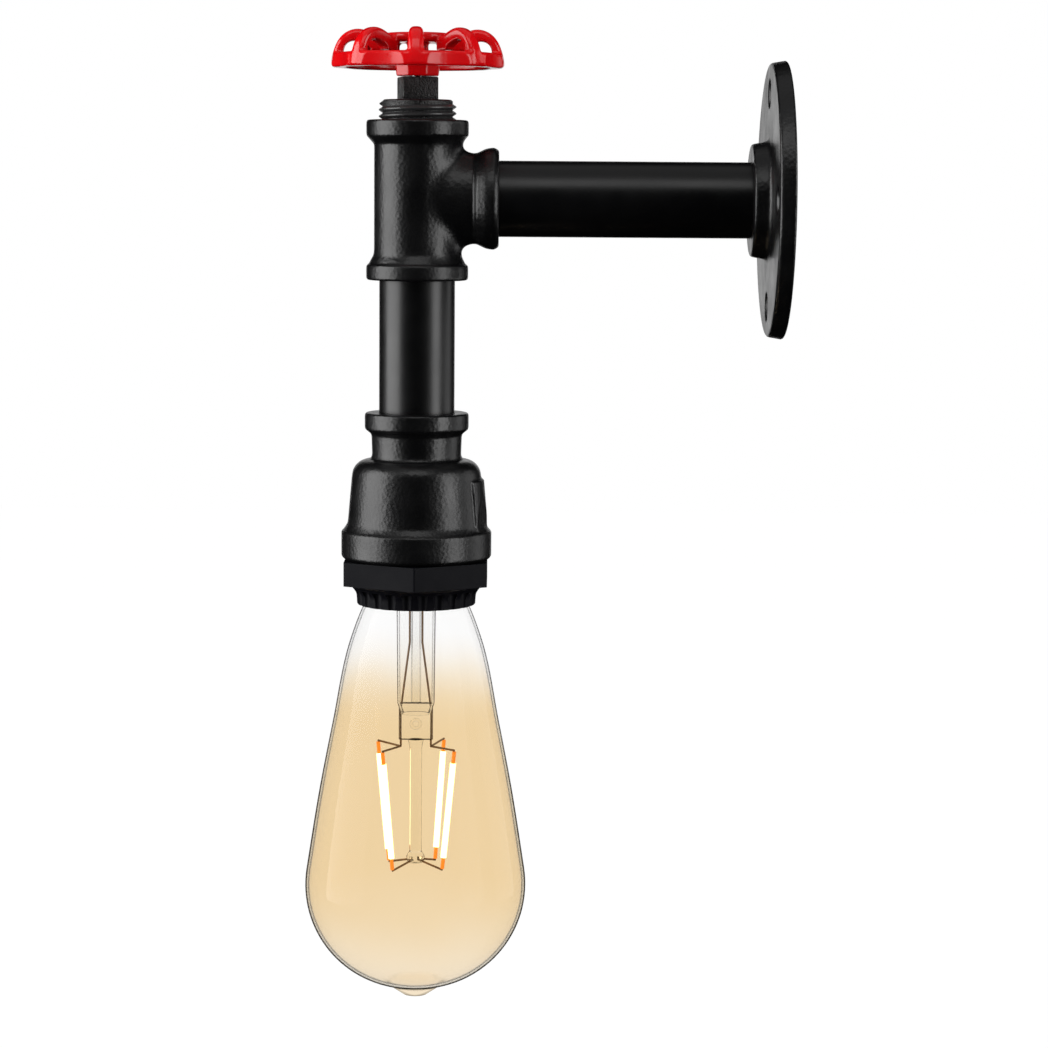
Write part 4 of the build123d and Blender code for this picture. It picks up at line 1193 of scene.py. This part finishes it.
@dataclass
class Studio:
    """Camera, pale floor, white surroundings, black cards and soft lights."""

    image_side: float = 1048.0
    focal_pixels: float = 3000.0
    sensor_mm: float = 36.0
    near_clip: float = 10 * MM
    horizon_row: float = 180.0
    square_on_column: float = 500.0
    camera_at: tuple[float, float, float] = (-79.9 * MM, -847 * MM, 5.3 * MM)
    roll: float = radians(-0.4)
    sky_light: float = 0.45  # strength of the surroundings' light on the object
    floor_height: float = -0.42
    floor_reach: float = 3.0
    floor_cells: int = 8
    floor_shade: str = "#454545"  # colour of the share of the floor that the lamps light
    floor_white: float = 0.975  # strength of the share that shines for the eye
    middle: Vector = field(default_factory=lambda: LAMP_AXIS + Vector((0, 0, -80 * MM)))
    tent_radius: float = 1.6
    tent_opening: float = radians(20)  # half the angle that stays open behind the object
    tent_gap: float = 10 * MM  # height of the cards' lower end above the floor
    tent_segments: int = 64
    cloth_colour: str = "#0D0D0D"
    softboxes: tuple[Softbox, ...] = (
        Softbox("left_softbox", azimuth=-78, elevation=4, away=0.8, size=(0.75, 1.2), radiance=4.4),
        Softbox("right_softbox", azimuth=62, elevation=2, away=0.9, size=(0.42, 1.2), radiance=4.0),
        Softbox("right_card", azimuth=108, elevation=0, away=0.9, size=(0.5, 1.0), radiance=1.0),
        Softbox("front_top_softbox", azimuth=0, elevation=54, away=0.9, size=(0.7, 0.34), radiance=1.7),
        Softbox("ceiling_card", azimuth=0, elevation=95, away=0.9, size=(1.0, 0.9), radiance=0.3),
    )

    def place_camera(self) -> None:
        """Adds the camera and makes it the scene's own."""
        lens = bpy.data.cameras.new("camera")
        lens.sensor_width = self.sensor_mm
        lens.lens = self.sensor_mm * self.focal_pixels / self.image_side
        lens.clip_start = self.near_clip
        camera = bpy.data.objects.new("camera", lens)
        middle = self.image_side / 2
        down = atan((middle - self.horizon_row) / self.focal_pixels)
        left = atan((self.square_on_column - middle) / self.focal_pixels)
        camera.location = self.camera_at
        camera.rotation_euler = (pi / 2 - down, self.roll, left)
        bpy.context.scene.collection.objects.link(camera)
        bpy.context.scene.camera = camera

    def white_to_view(
        self, tree: bpy.types.NodeTree, plain: float, white: float = 1.0
    ) -> bpy.types.NodeSocket:
        """Makes one strength for what is seen directly, in gloss or through glass, and one for the rest.

        Args:
            tree: Node tree of the world or of a material.
            plain: Strength for the light that falls on the object.
            white: Strength for what is seen.

        Returns:
            The strength's socket.
        """
        path = add(tree, "ShaderNodeLightPath").outputs
        some = add(
            tree,
            "ShaderNodeMath",
            {0: path["Is Camera Ray"], 1: path["Is Glossy Ray"]},
            operation="MAXIMUM",
        )
        seen = add(
            tree,
            "ShaderNodeMath",
            {0: some.outputs["Value"], 1: path["Is Transmission Ray"]},
            operation="MAXIMUM",
        )
        mixed = add(
            tree,
            "ShaderNodeMapRange",
            {"Value": seen.outputs["Value"], "To Min": plain, "To Max": white},
        )
        return mixed.outputs["Result"]

    def build_world(self) -> None:
        """Makes the surroundings white to view, with a plain soft light from them."""
        world = bpy.data.worlds.new("white_surroundings")
        tree = bare_tree(world)
        strength = self.white_to_view(tree, self.sky_light)
        sky = add(tree, "ShaderNodeBackground", {"Color": linear("#FFFFFF"), "Strength": strength})
        add(tree, "ShaderNodeOutputWorld", {"Surface": sky.outputs["Background"]})
        bpy.context.scene.world = world

    def build_floor(self) -> None:
        """Adds the pale floor, which shows the object's shadow."""
        bm = bmesh.new()
        bmesh.ops.create_grid(
            bm, x_segments=self.floor_cells, y_segments=self.floor_cells, size=self.floor_reach
        )
        move(bm, Vector((0, 0, self.floor_height)))
        floor = link_mesh("floor", bm)
        paper = bpy.data.materials.new("white_paper")
        tree = bare_tree(paper)
        matt = add(tree, "ShaderNodeBsdfDiffuse", {"Color": linear(self.floor_shade)})
        shine = self.white_to_view(tree, 0.0, self.floor_white)
        white = add(tree, "ShaderNodeEmission", {"Strength": shine})
        both = add(tree, "ShaderNodeAddShader", {0: matt.outputs["BSDF"], 1: white.outputs["Emission"]})
        add(tree, "ShaderNodeOutputMaterial", {"Surface": both.outputs["Shader"]})
        floor.data.materials.append(paper)

    def build_tent(self) -> None:
        """Adds black cards round the object, seen only in its gloss and open towards the backdrop."""
        bm = bmesh.new()
        bmesh.ops.create_uvsphere(
            bm,
            u_segments=self.tent_segments,
            v_segments=self.tent_segments // 2,
            radius=self.tent_radius,
        )
        move(bm, self.middle)
        low = (0, 0, self.floor_height + self.tent_gap)
        whole = bm.verts[:] + bm.edges[:] + bm.faces[:]
        bmesh.ops.bisect_plane(bm, geom=whole, plane_co=low, plane_no=(0, 0, -1), clear_outer=True)
        close_holes(bm)
        back = (0, self.tent_radius * cos(self.tent_opening), 0)
        whole = bm.verts[:] + bm.edges[:] + bm.faces[:]
        bmesh.ops.bisect_plane(bm, geom=whole, plane_co=back, plane_no=(0, 1, 0), clear_outer=True)
        cards = link_mesh("black_cards", bm)
        cloth = bpy.data.materials.new("black_cloth")
        tree = bare_tree(cloth)
        dark = add(tree, "ShaderNodeBsdfDiffuse", {"Color": linear(self.cloth_colour)})
        add(tree, "ShaderNodeOutputMaterial", {"Surface": dark.outputs["BSDF"]})
        cards.data.materials.append(cloth)
        cards.visible_camera = False
        cards.visible_diffuse = False
        cards.visible_transmission = False
        cards.visible_shadow = False

    def add_softbox(self, box: Softbox) -> None:
        """Adds a soft light, turned to the object's middle.

        Args:
            box: The light.
        """
        lamp = bpy.data.lights.new(box.name, "AREA")
        lamp.shape = "RECTANGLE"
        lamp.size, lamp.size_y = box.size
        lamp.energy = box.radiance * pi * box.size[0] * box.size[1]
        light = bpy.data.objects.new(box.name, lamp)
        azimuth = radians(box.azimuth)
        elevation = radians(box.elevation)
        across = cos(elevation) * box.away
        offset = Vector((sin(azimuth) * across, -cos(azimuth) * across, sin(elevation) * box.away))
        light.location = self.middle + offset
        light.rotation_euler = (-offset).to_track_quat("-Z", "Y").to_euler()
        light.visible_transmission = False
        bpy.context.scene.collection.objects.link(light)

    def build(self) -> None:
        """Builds the whole studio."""
        self.place_camera()
        self.build_world()
        self.build_floor()
        self.build_tent()
        for box in self.softboxes:
            self.add_softbox(box)
        bpy.context.scene.view_settings.view_transform = "Standard"


def main() -> None:
    """Builds every sub-assembly and the studio."""
    logging.basicConfig(level=logging.INFO, format="%(name)s: %(message)s")
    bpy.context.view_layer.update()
    for part in (Pipework(), Plug(), Handwheel(), Holder(), Lamp()):
        part.build()
    Studio().build()


if __name__ == "__main__":
    main()
